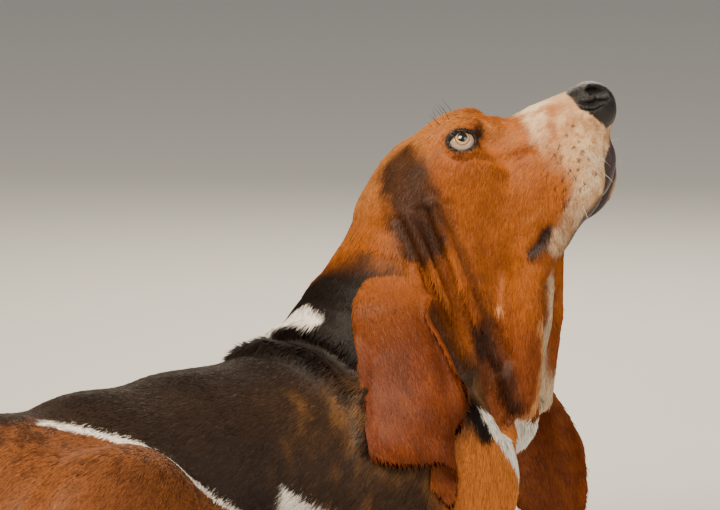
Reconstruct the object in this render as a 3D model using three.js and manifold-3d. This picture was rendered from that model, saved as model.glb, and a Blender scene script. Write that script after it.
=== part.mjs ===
// A basset hound, life size, lying down with its head turned to its right and raised to look up.
// Millimetres, +Z up, +X along the trunk towards the head, +Y to the dog's left, floor at z = 0.
// The body is one smooth surface round a set of muscles. Thin cuts part it into head, neck,
// trunk, tail and legs. The ears are hanging leaves of their own, and the eyes are balls in sockets.
import * as THREE from "three";
import { mergeVertices } from "three/addons/utils/BufferGeometryUtils.js";
import Module from "manifold-3d";

const wasm = await Module();
wasm.setup();

// Driving sizes
const GAP = 0.3; // air between two pieces that meet
const SMOOTH = 26; // how far one muscle flows into the next on the body
const FACE_SMOOTH = 12; // the same on the head, where forms are crisper
const CHEST_TURN = -12; // degrees that the chest turns to the right of the rump
const HEAD = { at: [234, -68, 380], turn: -52, pitch: 32 }; // middle of the skull, and where the nose points
const EYE_RADIUS = 12;
const EYE_AT = [39, 38, 25]; // in the head's frame, mirrored for the other eye
const EAR_THICK = 5;
const EAR_CLEARANCE = 1; // air between the leaf of an ear and the coat it lies on
const CLAW = { length: 17, radius: 3.4, droop: 38 };

const COLOURS = {
  tan: 0xa9602a,
  black: 0x2a211d,
  mahogany: 0x7a3f1f,
  white: 0xe8ddd0,
  nose: 0x2b2624,
  eye: 0xb98a4a,
};

// Muscles: each is a function of a point that gives its distance outside the surface

// A rounded mass with half-lengths r, turned by degrees about the vertical and then nosed up by pitch
function mass(at, r, turn = 0, pitch = 0, roll = 0) {
  const axes = new THREE.Euler(radians(roll), radians(-pitch), radians(turn), "ZYX");
  return { at: new THREE.Vector3(...at), r, q: new THREE.Quaternion().setFromEuler(axes) };
}

// A run of round-ended lengths through points [x, y, z, radius]
function run(points) {
  return { points: points.map(([x, y, z, r]) => ({ p: new THREE.Vector3(x, y, z), r })) };
}

function radians(degrees) {
  return (degrees * Math.PI) / 180;
}

// The same muscle carried by a frame: a quaternion and a place
function carried(muscle, q, at) {
  if (muscle.points)
    return { points: muscle.points.map(({ p, r }) => ({ p: p.clone().applyQuaternion(q).add(at), r })) };
  return { ...muscle, at: muscle.at.clone().applyQuaternion(q).add(at), q: q.clone().multiply(muscle.q) };
}

// The muscle on the other side of the middle plane y = 0
function mirrored(muscle) {
  if (muscle.points)
    return { points: muscle.points.map(({ p, r }) => ({ p: new THREE.Vector3(p.x, -p.y, p.z), r })) };
  const { x, y, z, w } = muscle.q;
  return { ...muscle, at: new THREE.Vector3(muscle.at.x, -muscle.at.y, muscle.at.z), q: new THREE.Quaternion(-x, y, -z, w) };
}

const both = (muscle) => [muscle, mirrored(muscle)];

// Distance functions, with the turn of a mass worked out once
function distanceTo(muscle) {
  if (muscle.points) {
    const legs = muscle.points.slice(1).map((b, i) => {
      const a = muscle.points[i];
      const d = b.p.clone().sub(a.p);
      return [a.p.x, a.p.y, a.p.z, d.x, d.y, d.z, d.lengthSq(), a.r, b.r - a.r];
    });
    return (x, y, z) => {
      let best = 1e9;
      for (const [ax, ay, az, dx, dy, dz, dd, r, grow] of legs) {
        const [px, py, pz] = [x - ax, y - ay, z - az];
        const t = Math.min(1, Math.max(0, (px * dx + py * dy + pz * dz) / dd));
        best = Math.min(best, Math.hypot(px - t * dx, py - t * dy, pz - t * dz) - r - grow * t);
      }
      return best;
    };
  }
  const m = new THREE.Matrix4().makeRotationFromQuaternion(muscle.q.clone().invert()).elements;
  const { x: cx, y: cy, z: cz } = muscle.at;
  const [rx, ry, rz] = muscle.r;
  return (x, y, z) => {
    const [px, py, pz] = [x - cx, y - cy, z - cz];
    const u = (m[0] * px + m[4] * py + m[8] * pz) / rx;
    const v = (m[1] * px + m[5] * py + m[9] * pz) / ry;
    const w = (m[2] * px + m[6] * py + m[10] * pz) / rz;
    const near = Math.hypot(u, v, w);
    return (near * (near - 1)) / Math.max(1e-6, Math.hypot(u / rx, v / ry, w / rz));
  };
}

// The smaller of two distances, rounded where they are nearly the same
function smoothMin(d, e, smooth) {
  const h = Math.max(0, smooth - Math.abs(d - e)) / smooth;
  return Math.min(d, e) - (h * h * smooth) / 4;
}

// Muscles that flow into each other
function blended(muscles, smooth) {
  const parts = muscles.map(distanceTo);
  return (x, y, z) => parts.reduce((d, part) => smoothMin(d, part(x, y, z), smooth), 1e9);
}

const joined = (a, b, smooth) => (x, y, z) => smoothMin(a(x, y, z), b(x, y, z), smooth);

// The dog's muscles

// Trunk, with the forward half turned a little to the right
const trunkMuscles = [
  mass([-226, 0, 136], [100, 96, 102]), // rump
  mass([-266, 0, 112], [60, 92, 94]), // buttocks
  mass([-120, -2, 128], [125, 98, 114]), // loin and belly
  mass([-15, -4, 126], [130, 110, 118], -4), // back ribs
  mass([75, -14, 125], [128, 116, 119], CHEST_TURN), // front ribs
  mass([120, -24, 202], [90, 62, 52], CHEST_TURN, 8), // withers
  mass([205, -48, 122], [104, 92, 96], CHEST_TURN - 6), // breast
  mass([60, -8, 60], [190, 96, 66], CHEST_TURN), // breastbone and belly on the floor
];

// Neck, from between the shoulders to the back of the skull, with loose skin at the throat
const neckMuscles = [
  run([[158, -32, 190, 92], [190, -44, 250, 80], [214, -56, 306, 68], [222, -60, 335, 62]]),
  run([[196, -40, 215, 88], [245, -88, 262, 58]]),
];

// Head, in its own frame: x to the nose, y to the left, z to the crown
const headMuscles = [
  mass([-6, 0, 2], [60, 51, 48]), // cranium
  mass([-54, 0, 6], [24, 20, 20]), // peak at the back of the skull
  ...both(mass([29, 25, 33], [34, 20, 17], 0, -4)), // brows
  ...both(mass([62, 17, 19], [15, 9, 10], 0, -20)), // frown at the inner ends of the brows
  ...both(mass([10, 38, -10], [50, 17, 40])), // cheekbones
  run([[40, 0, -14, 37], [100, 0, -11, 30], [142, 0, -12, 25]]), // muzzle
  mass([150, 0, -10], [18, 22, 20]), // nose
  mass([122, 0, -42], [26, 25, 33]), // upper lips where they meet
  mass([90, -27, -49], [43, 17, 41], 4), // hanging upper lip, right
  mass([95, 27, -54], [46, 17, 43], -4), // hanging upper lip, left
  ...both(mass([52, 32, -64], [46, 19, 41], 0, 14)), // back of the lips
  run([[0, 0, -62, 34], [112, 0, -66, 17]]), // lower jaw
  mass([-18, 0, -46], [62, 52, 58]), // jaw corners and throat
];
// Loose skin that hangs from the jaw and throat: a fold down each cheek, and the dewlap's lobes
const throatMuscles = [
  run([[40, -34, -92, 20], [5, -36, -135, 24], [-36, -36, -180, 27], [-62, -34, -196, 24]]),
  run([[45, 6, -92, 22], [12, 10, -140, 24], [-30, 12, -190, 27], [-62, 10, -215, 24]]),
  run([[-20, -48, -60, 20], [-48, -50, -118, 20], [-66, -46, -168, 22]]),
  run([[-20, 48, -60, 20], [-48, 50, -118, 20], [-66, 40, -168, 22]]),
];

// Legs, folded under as a dog lies: elbows and knees up, forearms and feet flat on the floor.
// A toe is the run from the foot to its tip, and a claw grows from each tip.
function foreleg(side) {
  const toes = [-24, -8, 9, 25].map((dy, i) => {
    const reach = i === 0 || i === 3 ? 46 : 60;
    return [[320, side * (74 + dy * 0.8) - 46, 24, 16], [312 + reach, side * (74 + dy + reach * 0.12) - 46, 15, 16]];
  });
  const arm = run([
    [120, side * 98 - 24, 62, 42],
    [150, side * 92 - 30, 44, 40],
    [250, side * 76 - 40, 34, 33],
    [305, side * 74 - 46, 28, 30],
  ]);
  const shoulder = mass([178 - side * -20, side * 97 - 31, 128], [88, 40, 92], CHEST_TURN, -30);
  return { side, upper: [shoulder], limb: [arm, ...toes.map(run)], toes };
}
function hindleg(side) {
  const toes = [-21, -7, 8, 22].map((dy, i) => {
    const reach = i === 0 || i === 3 ? 40 : 52;
    return [[-78, side * (146 + dy * 0.8), 22, 14], [-78 + reach, side * (148 + dy + reach * 0.1), 14, 14.5]];
  });
  const thigh = [
    mass([-192, side * 96, 116], [106, 54, 106], -side * 4, -14),
    mass([-112, side * 116, 84], [62, 40, 66], 0, -20), // knee
  ];
  const limb = [
    run([[-110, side * 122, 60, 42], [-200, side * 128, 38, 32], [-232, side * 132, 26, 24]]), // lower leg
    run([[-232, side * 134, 24, 23], [-150, side * 142, 22, 22], [-85, side * 146, 22, 24]]), // hind foot
    ...toes.map(run),
  ];
  return { side, upper: thigh, limb, toes };
}

// Tail, down from the rump and round along the floor to the right
const tailMuscles = [
  run([[-300, 0, 120, 34], [-332, -4, 84, 24], [-356, -14, 44, 19], [-372, -34, 20, 17],
    [-378, -72, 13, 15], [-368, -122, 11, 13], [-344, -168, 9, 11], [-316, -200, 7, 9]]),
];

const headTurn = new THREE.Quaternion().setFromEuler(
  new THREE.Euler(0, radians(-HEAD.pitch), radians(HEAD.turn), "ZYX"),
);
const headAt = new THREE.Vector3(...HEAD.at);
const onHead = (muscle) => carried(muscle, headTurn, headAt);
const headPoint = (x, y, z) => new THREE.Vector3(x, y, z).applyQuaternion(headTurn).add(headAt);

const legs = {
  foreleg_left: foreleg(1),
  foreleg_right: foreleg(-1),
  hindleg_left: hindleg(1),
  hindleg_right: hindleg(-1),
};
const allLegs = Object.values(legs);
const bodyField = blended([...trunkMuscles, ...allLegs.flatMap((leg) => leg.upper), ...neckMuscles], SMOOTH);
const legField = blended([...allLegs.flatMap((leg) => leg.limb), ...tailMuscles], 9);
const faceField = blended([...headMuscles, ...throatMuscles].map(onHead), FACE_SMOOTH);
const tailField = blended(tailMuscles, 9);
const dogField = joined(joined(bodyField, legField, 18), faceField, 16);

// Surface of a field inside a box, as a closed net of even faces whose points lie on the surface
function netOf(field, low, high, cell) {
  const [nx, ny, nz] = low.map((a, i) => Math.ceil((high[i] - a) / cell) + 1);
  const at = (i, j, k) => (k * ny + j) * nx + i;
  const value = new Float32Array(nx * ny * nz);
  for (let k = 0; k < nz; k++)
    for (let j = 0; j < ny; j++)
      for (let i = 0; i < nx; i++) {
        const wall = i === 0 || j === 0 || k === 0 || i === nx - 1 || j === ny - 1 || k === nz - 1;
        const d = field(low[0] + i * cell, low[1] + j * cell, low[2] + k * cell);
        value[at(i, j, k)] = wall ? Math.max(d, 0.1 * cell) : d;
      }
  const strides = [1, nx, nx * ny];
  for (let axis = 0; axis < 3; axis++) partSheets(value, strides[axis], strides[(axis + 1) % 3]);
  const points = [];
  const pointOf = new Int32Array(nx * ny * nz).fill(-1);
  for (let k = 0; k < nz - 1; k++)
    for (let j = 0; j < ny - 1; j++)
      for (let i = 0; i < nx - 1; i++) {
        const middle = middleOfCrossings((a, b, c) => value[at(i + a, j + b, k + c)]);
        if (!middle) continue;
        pointOf[at(i, j, k)] = points.length;
        points.push([low[0] + (i + middle.x) * cell, low[1] + (j + middle.y) * cell, low[2] + (k + middle.z) * cell]);
      }
  const quads = [];
  for (let k = 0; k < nz - 1; k++)
    for (let j = 0; j < ny - 1; j++)
      for (let i = 0; i < nx - 1; i++)
        for (let axis = 0; axis < 3; axis++) {
          const here = [i, j, k];
          if (here[(axis + 1) % 3] === 0 || here[(axis + 2) % 3] === 0) continue;
          const next = [i, j, k];
          next[axis] += 1;
          const inside = value[at(...here)] < 0;
          if (inside === value[at(...next)] < 0) continue;
          const ring = [[0, 0], [1, 0], [1, 1], [0, 1]].map(([s, t]) => {
            const cellAt = [i, j, k];
            cellAt[(axis + 1) % 3] -= s;
            cellAt[(axis + 2) % 3] -= t;
            return pointOf[at(...cellAt)];
          });
          if (!inside) ring.reverse();
          quads.push(ring);
        }
  const isWall = (p) => p.some((c, i) => c < low[i] + 1.5 * cell || c > high[i] - 1.5 * cell);
  for (const p of points) if (!isWall(p)) drawOnto(field, p, 0, cell / 3);
  return { field, points, faces: trianglesOf(quads) };
}

// Where two sheets of the surface would touch along an edge, the corners of a face of the grid are in, out,
// in and out: the one nearest the surface changes side
function partSheets(value, step, across) {
  const isIn = (n) => value[n] < 0;
  for (let n = 0; n + step + across < value.length; n++) {
    const corners = [n, n + step, n + step + across, n + across];
    const [a, b, c, d] = corners.map(isIn);
    if (a !== c || b !== d || a === b) continue;
    const nearest = corners.reduce((p, q) => (Math.abs(value[q]) < Math.abs(value[p]) ? q : p));
    value[nearest] *= -1;
  }
}

// Splits each quad in two, on the diagonal that no other face has as an edge
function trianglesOf(quads) {
  const key = (a, b) => `${Math.min(a, b)},${Math.max(a, b)}`;
  const taken = new Set(quads.flatMap((q) => q.map((a, i) => key(a, q[(i + 1) % 4]))));
  return quads.flatMap(([a, b, c, d]) => {
    if (taken.has(key(a, c))) {
      taken.add(key(b, d));
      return [b, c, d, b, d, a];
    }
    taken.add(key(a, c));
    return [a, b, c, a, c, d];
  });
}

// Middle of the places where a cell's edges cross the surface, in parts of the cell
function middleOfCrossings(corner) {
  const sum = new THREE.Vector3();
  let crossings = 0;
  for (let axis = 0; axis < 3; axis++)
    for (let n = 0; n < 4; n++) {
      const a = [0, 0, 0];
      a[(axis + 1) % 3] = n & 1;
      a[(axis + 2) % 3] = n >> 1;
      const b = [...a];
      b[axis] = 1;
      const va = corner(...a);
      const vb = corner(...b);
      if (va < 0 === vb < 0) continue;
      a[axis] = va / (va - vb);
      sum.add(new THREE.Vector3(...a));
      crossings++;
    }
  return crossings ? sum.divideScalar(crossings) : null;
}

function slopeAt(field, [x, y, z]) {
  const e = 0.5;
  return new THREE.Vector3(
    field(x + e, y, z) - field(x - e, y, z),
    field(x, y + e, z) - field(x, y - e, z),
    field(x, y, z + e) - field(x, y, z - e),
  ).divideScalar(2 * e);
}

// Moves a point until the field there is level, by at most most in each of a few steps
function drawOnto(field, p, level, most) {
  for (let step = 0; step < 4; step++) {
    const slope = slopeAt(field, p);
    const far = (field(...p) - level) / Math.max(0.2, slope.lengthSq());
    slope.multiplyScalar(-Math.min(most, Math.max(-most, far)));
    p[0] += slope.x;
    p[1] += slope.y;
    p[2] += slope.z;
  }
}

// A net as a solid, with every point moved out by grow along the slope
function solidFrom({ field, points, faces }, grow = 0) {
  const moved = points.map((p) => {
    const out = slopeAt(field, p).setLength(grow || 1e-9);
    return [p[0] + out.x, p[1] + out.y, p[2] + out.z];
  });
  return solidOf(moved.flat(), faces);
}

function solidOf(positions, faces) {
  return new wasm.Manifold(new wasm.Mesh({
    numProp: 3,
    vertProperties: new Float32Array(positions),
    triVerts: new Uint32Array(faces),
  }));
}

// A three.js geometry as a solid, moved by a matrix
function cutter(geometry, matrix = new THREE.Matrix4()) {
  const bare = geometry.clone().applyMatrix4(matrix);
  bare.deleteAttribute("normal");
  bare.deleteAttribute("uv");
  const merged = mergeVertices(bare, 1e-4);
  return solidOf([...merged.attributes.position.array], [...merged.index.array]);
}

const largest = (solid) => solid.decompose().reduce((a, b) => (b.volume() > a.volume() ? b : a));

// The planes that part the head, neck and trunk, each piece standing back by half the gap
const HEAD_CUT = { at: headPoint(-75, 0, 8), normal: new THREE.Vector3(0.8, 0, 0.6).applyQuaternion(headTurn) };
const NECK_CUT = { at: new THREE.Vector3(104, -18, 240), normal: new THREE.Vector3(0.4, -0.1, 0.91).normalize() };

function beyond(solid, { at, normal }, side) {
  const n = normal.clone().multiplyScalar(side);
  return solid.trimByPlane([n.x, n.y, n.z], n.dot(at) + GAP / 2);
}

const headBox = [[120, -290, 200], [400, 60, 500]];
const neckBox = [[50, -210, 90], [360, 90, 440]];
const bodyBox = [[-420, -250, -40], [470, 230, 300]];
const tailBox = [[-420, -240, -40], [-270, 70, 190]];
const CELL = { head: 17, neck: 30, trunk: 44, leg: 26, tail: 14, cut: 46 };
const standing = (solid) => solid.trimByPlane([0, 0, 1], 0);

// The mould of a leg: its own muscles, grown until they reach past the skin
function mouldOf({ limb, upper }) {
  const limbField = blended(limb, 14);
  const upperField = blended(upper, 14);
  const mould = (x, y, z) => Math.min(limbField(x, y, z) - 9, upperField(x, y, z) - 6);
  return netOf(mould, ...bodyBox, CELL.cut);
}

const pieces = {};
const headNet = netOf(dogField, ...headBox, CELL.head);
const neckNet = netOf(dogField, ...neckBox, CELL.neck);
pieces.head = largest(beyond(solidFrom(headNet), HEAD_CUT, 1));
pieces.neck = largest(beyond(beyond(solidFrom(neckNet), HEAD_CUT, -1), NECK_CUT, 1));

const underNeck = (solid) => beyond(standing(solid), NECK_CUT, -1);
const legNet = netOf(dogField, ...bodyBox, CELL.leg);
const trunkNet = netOf(dogField, ...bodyBox, CELL.trunk);
const legFlesh = underNeck(solidFrom(legNet));
let trunk = underNeck(solidFrom(trunkNet));
for (const [name, leg] of Object.entries(legs)) {
  const mould = mouldOf(leg);
  pieces[name] = largest(legFlesh.intersect(solidFrom(mould)));
  trunk = trunk.subtract(solidFrom(mould, GAP)).subtract(solidFrom(mould));
}
const TAIL_CUT = -303; // where the tail leaves the rump, along x
const tailMould = netOf((x, y, z) => tailField(x, y, z) - 9, ...tailBox, CELL.leg);
const tailRegion = (grow) => solidFrom(tailMould, grow).trimByPlane([-1, 0, 0], -TAIL_CUT - grow);
const tailFlesh = standing(solidFrom(netOf(dogField, ...tailBox, CELL.tail)));
pieces.tail = largest(tailFlesh.intersect(tailRegion(0)));
pieces.trunk = largest(trunk.subtract(tailRegion(GAP)));

// An ear: a leaf that hangs along a line from its root to its tip. Across it, from its rear edge to its
// front edge, it turns from facing out to facing in: turns gives how far at each edge, in radians, at
// knots from the root to the tip. It lies on the body and nowhere in it.
const EAR_ROWS = 11;
const EAR_COLUMNS = 9;
function earOf({ line, halfWidths, rearTurns, frontTurns, reaches, facing }) {
  const path = new THREE.CatmullRomCurve3(line.map((p) => new THREE.Vector3(...p)));
  const inner = [];
  const outer = [];
  for (let i = 0; i <= EAR_ROWS; i++) {
    for (let j = 0; j <= EAR_COLUMNS; j++) {
      const t = (i / EAR_ROWS) * between(reaches, j / EAR_COLUMNS);
      const down = path.getTangent(t);
      const across = new THREE.Vector3().crossVectors(new THREE.Vector3(...facing), down).normalize();
      const out = new THREE.Vector3().crossVectors(down, across).normalize();
      const { x, y, angle } = sectionOf(between(halfWidths, t), between(rearTurns, t), between(frontTurns, t))[j];
      const p = path.getPoint(t).addScaledVector(across, x).addScaledVector(out, y).toArray();
      const face = across.clone().multiplyScalar(-Math.sin(angle)).addScaledVector(out, Math.cos(angle));
      if (dogField(...p) < EAR_CLEARANCE) drawOnto(dogField, p, EAR_CLEARANCE, 20);
      inner.push(...p);
      outer.push(...new THREE.Vector3(...p).addScaledVector(face, EAR_THICK).toArray());
    }
  }
  return sheetOf(inner, outer, EAR_ROWS, EAR_COLUMNS);
}

// The curved section of a leaf, from its rear edge at x < 0 to its front edge, through (0, 0) in the middle
function sectionOf(halfWidth, rearTurn, frontTurn) {
  const step = (2 * halfWidth) / EAR_COLUMNS;
  const points = [];
  let x = 0;
  let y = 0;
  for (let j = 0; j <= EAR_COLUMNS; j++) {
    const c = (2 * j) / EAR_COLUMNS - 1;
    const angle = c < 0 ? rearTurn * -c : -frontTurn * THREE.MathUtils.smoothstep(c, -0.05, 0.9);
    points.push({ x, y, angle });
    x += step * Math.cos(angle);
    y += step * Math.sin(angle);
  }
  const middle = points[Math.floor(EAR_COLUMNS / 2)];
  return points.map((p) => ({ x: p.x - middle.x, y: p.y - middle.y, angle: p.angle }));
}

// A closed sheet between two layers of points in rows
function sheetOf(inner, outer, rows, columns) {
  const faces = [];
  const quad = (a, b, c, d) => faces.push(a, b, c, a, c, d);
  const under = (i, j) => i * (columns + 1) + j;
  const over = (i, j) => under(i, j) + inner.length / 3;
  for (let i = 0; i < rows; i++)
    for (let j = 0; j < columns; j++) {
      quad(over(i, j), over(i + 1, j), over(i + 1, j + 1), over(i, j + 1));
      quad(under(i, j), under(i, j + 1), under(i + 1, j + 1), under(i + 1, j));
    }
  for (let i = 0; i < rows; i++) {
    quad(over(i, 0), under(i, 0), under(i + 1, 0), over(i + 1, 0));
    quad(over(i, columns), over(i + 1, columns), under(i + 1, columns), under(i, columns));
  }
  for (let j = 0; j < columns; j++) {
    quad(over(0, j), over(0, j + 1), under(0, j + 1), under(0, j));
    quad(over(rows, j), under(rows, j), under(rows, j + 1), over(rows, j + 1));
  }
  return solidOf([...inner, ...outer], faces);
}

// Value of even knots at t from 0 to 1
function between(knots, t) {
  const curve = new THREE.CatmullRomCurve3(knots.map((v, i) => new THREE.Vector3(i, v, 0)));
  return curve.getPoint(t).y;
}

const ears = {
  ear_right: {
    line: [[160, -74, 358], [137, -98, 296], [134, -121, 254], [128, -137, 222], [117, -156, 192],
      [116, -166, 160], [120, -173, 128]],
    facing: [-0.62, -0.76, 0.1],
    halfWidths: [17, 33, 46, 51, 53, 55, 52],
    rearTurns: [0.2, 0.5, 0.6, 0.5, 0.5, 0.6, 0.6],
    frontTurns: [0.2, 0.4, 0.6, 1.1, 2.1, 3.0, 3.3],
    reaches: [0.73, 0.76, 0.78, 0.79, 0.81, 0.9, 1.0, 0.9],
  },
  ear_left: {
    line: [[252, -6, 356], [280, -16, 310], [300, -42, 265], [311, -66, 220], [324, -86, 172],
      [341, -102, 118], [356, -115, 54]],
    facing: [0.85, 0.5, 0.15],
    halfWidths: [17, 30, 36, 33, 30, 37, 43],
    rearTurns: [0.2, 0.5, 0.5, 0.5, 0.5, 0.4, 0.4],
    frontTurns: [0.3, 0.5, 0.6, 1.0, 1.0, 0.8, 0.7],
    reaches: [0.8, 0.9, 0.96, 1, 1, 0.98, 0.93, 0.84],
  },
};
const besideEars = [headNet, neckNet, legNet, trunkNet].map((net) => solidFrom(net, GAP));
for (const [name, shape] of Object.entries(ears))
  pieces[name] = largest(besideEars.reduce((leaf, flesh) => leaf.subtract(flesh), earOf(shape)));

// Eyes, in sockets cut to fit
const ball = (radius, at) =>
  cutter(new THREE.SphereGeometry(radius, 12, 7), new THREE.Matrix4().makeTranslation(...at.toArray()));
for (const [name, side] of [["eye_left", 1], ["eye_right", -1]]) {
  const at = headPoint(EYE_AT[0], side * EYE_AT[1], EYE_AT[2]);
  pieces[name] = ball(EYE_RADIUS, at);
  pieces.head = pieces.head.subtract(ball(EYE_RADIUS + 2 * GAP, at));
}

// Claws, each a bent-down cone that grows from under the end of its toe
for (const [name, { toes }] of Object.entries(legs))
  toes.forEach(([from, to], i) => {
    const along = new THREE.Vector3(to[0] - from[0], to[1] - from[1], 0).normalize();
    const down = radians(CLAW.droop);
    const points = along.clone().multiplyScalar(Math.cos(down)).add(new THREE.Vector3(0, 0, -Math.sin(down)));
    const turn = new THREE.Quaternion().setFromUnitVectors(new THREE.Vector3(0, 1, 0), points);
    const at = new THREE.Vector3(...to).addScaledVector(along, to[3] - 4).addScaledVector(points, CLAW.length / 4);
    const cone = new THREE.ConeGeometry(CLAW.radius, CLAW.length, 7);
    const claw = cutter(cone, new THREE.Matrix4().compose(at, turn, new THREE.Vector3(1, 1, 1)));
    pieces[`claw_${name}_${i + 1}`] = claw;
    pieces[name] = largest(pieces[name].subtract(cutter(
      new THREE.ConeGeometry(CLAW.radius + 2 * GAP, CLAW.length + 4 * GAP, 7),
      new THREE.Matrix4().compose(at, turn, new THREE.Vector3(1, 1, 1)),
    )));
  });

const group = new THREE.Group();
const finish = (colour, roughness = 0.8) => new THREE.MeshStandardMaterial({ color: colour, roughness, metalness: 0 });
const materials = {
  head: finish(COLOURS.tan),
  neck: finish(COLOURS.tan),
  trunk: finish(COLOURS.black),
  tail: finish(COLOURS.black),
  foreleg: finish(COLOURS.white),
  hindleg: finish(COLOURS.tan),
  ear: finish(COLOURS.mahogany),
  eye: finish(COLOURS.eye, 0.1),
  claw: finish(COLOURS.nose, 0.4),
};

function addPiece(name, solid, material) {
  const { vertProperties, triVerts, numProp } = solid.getMesh();
  const positions = new Float32Array((vertProperties.length / numProp) * 3);
  for (let i = 0; i < positions.length / 3; i++)
    positions.set(vertProperties.subarray(i * numProp, i * numProp + 3), i * 3);
  const geometry = new THREE.BufferGeometry()
    .setAttribute("position", new THREE.BufferAttribute(positions, 3))
    .setIndex(new THREE.BufferAttribute(triVerts, 1));
  geometry.computeVertexNormals();
  const mesh = new THREE.Mesh(geometry, material);
  mesh.name = name;
  group.add(mesh);
}

for (const [name, solid] of Object.entries(pieces)) addPiece(name, solid, materials[name.split("_")[0]]);

// The origin is on the floor, under the middle of the whole dog
const span = new THREE.Box3().setFromObject(group);
group.position.set(-(span.min.x + span.max.x) / 2, -(span.min.y + span.max.y) / 2, -span.min.z);

export default group;
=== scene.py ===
# A basset hound, life size, lying down with its head turned to its right and raised: skin, coat and eyes.
# The shape is worked out in millimetres in the dog's own frame: +X along the trunk to the head, +Y to
# the dog's left, +Z up from the floor. SHIFT carries that frame to the row's.
import math

import bpy
import numpy as np
from mathutils import Matrix, Vector


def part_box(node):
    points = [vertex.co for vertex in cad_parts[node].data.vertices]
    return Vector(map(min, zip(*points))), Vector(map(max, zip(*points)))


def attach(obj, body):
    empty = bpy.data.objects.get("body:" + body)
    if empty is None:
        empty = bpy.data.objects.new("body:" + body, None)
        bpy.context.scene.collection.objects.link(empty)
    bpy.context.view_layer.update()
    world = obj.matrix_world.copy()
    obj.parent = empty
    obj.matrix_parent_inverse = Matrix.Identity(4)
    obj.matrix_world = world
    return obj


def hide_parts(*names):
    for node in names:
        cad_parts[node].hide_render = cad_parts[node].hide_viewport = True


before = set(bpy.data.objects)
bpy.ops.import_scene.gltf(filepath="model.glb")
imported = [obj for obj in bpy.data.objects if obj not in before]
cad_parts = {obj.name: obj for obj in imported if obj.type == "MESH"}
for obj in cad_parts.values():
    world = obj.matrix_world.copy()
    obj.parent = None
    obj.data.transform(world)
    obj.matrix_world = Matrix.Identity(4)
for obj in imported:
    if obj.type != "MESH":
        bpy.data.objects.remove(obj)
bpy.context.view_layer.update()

MM = 0.001
rng = np.random.default_rng(7)

# Driving sizes, in millimetres and degrees, as the solids have them
SMOOTH = 26
FACE_SMOOTH = 12
CHEST_TURN = -12
HEAD_AT = np.array([234.0, -68.0, 380.0])
HEAD_TURN = -52
HEAD_PITCH = 32
EYE_RADIUS = 12.0
EYE_AT = (39, 38, 25)
EAR_THICK = 5.0
EAR_CLEARANCE = 1.0
EAR_ROOT = 12.0

# The coat's depth over the skin, and how far the skin stays above the floor
BODY_COAT = 3.0
FACE_COAT = 1.4
FLOOR_GAP = 0.4


def radians(degrees):
    return degrees * math.pi / 180


def rotation(turn=0, pitch=0, roll=0):
    """Rotation that rolls about x, noses up by pitch, then turns about the vertical."""
    cz, sz = math.cos(radians(turn)), math.sin(radians(turn))
    cy, sy = math.cos(radians(-pitch)), math.sin(radians(-pitch))
    cx, sx = math.cos(radians(roll)), math.sin(radians(roll))
    about_z = np.array([[cz, -sz, 0], [sz, cz, 0], [0, 0, 1]])
    about_y = np.array([[cy, 0, sy], [0, 1, 0], [-sy, 0, cy]])
    about_x = np.array([[1, 0, 0], [0, cx, -sx], [0, sx, cx]])
    return about_z @ about_y @ about_x


HEAD = rotation(HEAD_TURN, HEAD_PITCH)
FLIP = np.diag([1.0, -1.0, 1.0])


def head_point(x, y, z):
    return HEAD @ np.array([x, y, z], float) + HEAD_AT


# Muscles, as in the solids: masses are ellipsoids, runs are chains of round-ended lengths


def mass(at, r, turn=0, pitch=0, roll=0):
    return {"at": np.array(at, float), "r": np.array(r, float), "axes": rotation(turn, pitch, roll)}


def run(points):
    return {"points": np.array(points, float)}


def mirrored(muscle):
    if "points" in muscle:
        return {"points": muscle["points"] * [1, -1, 1, 1]}
    return {"at": FLIP @ muscle["at"], "r": muscle["r"], "axes": FLIP @ muscle["axes"] @ FLIP}


def both(muscle):
    return [muscle, mirrored(muscle)]


def on_head(muscle):
    if "points" in muscle:
        moved = muscle["points"].copy()
        moved[:, :3] = moved[:, :3] @ HEAD.T + HEAD_AT
        return {"points": moved}
    return {"at": HEAD @ muscle["at"] + HEAD_AT, "r": muscle["r"], "axes": HEAD @ muscle["axes"]}


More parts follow.
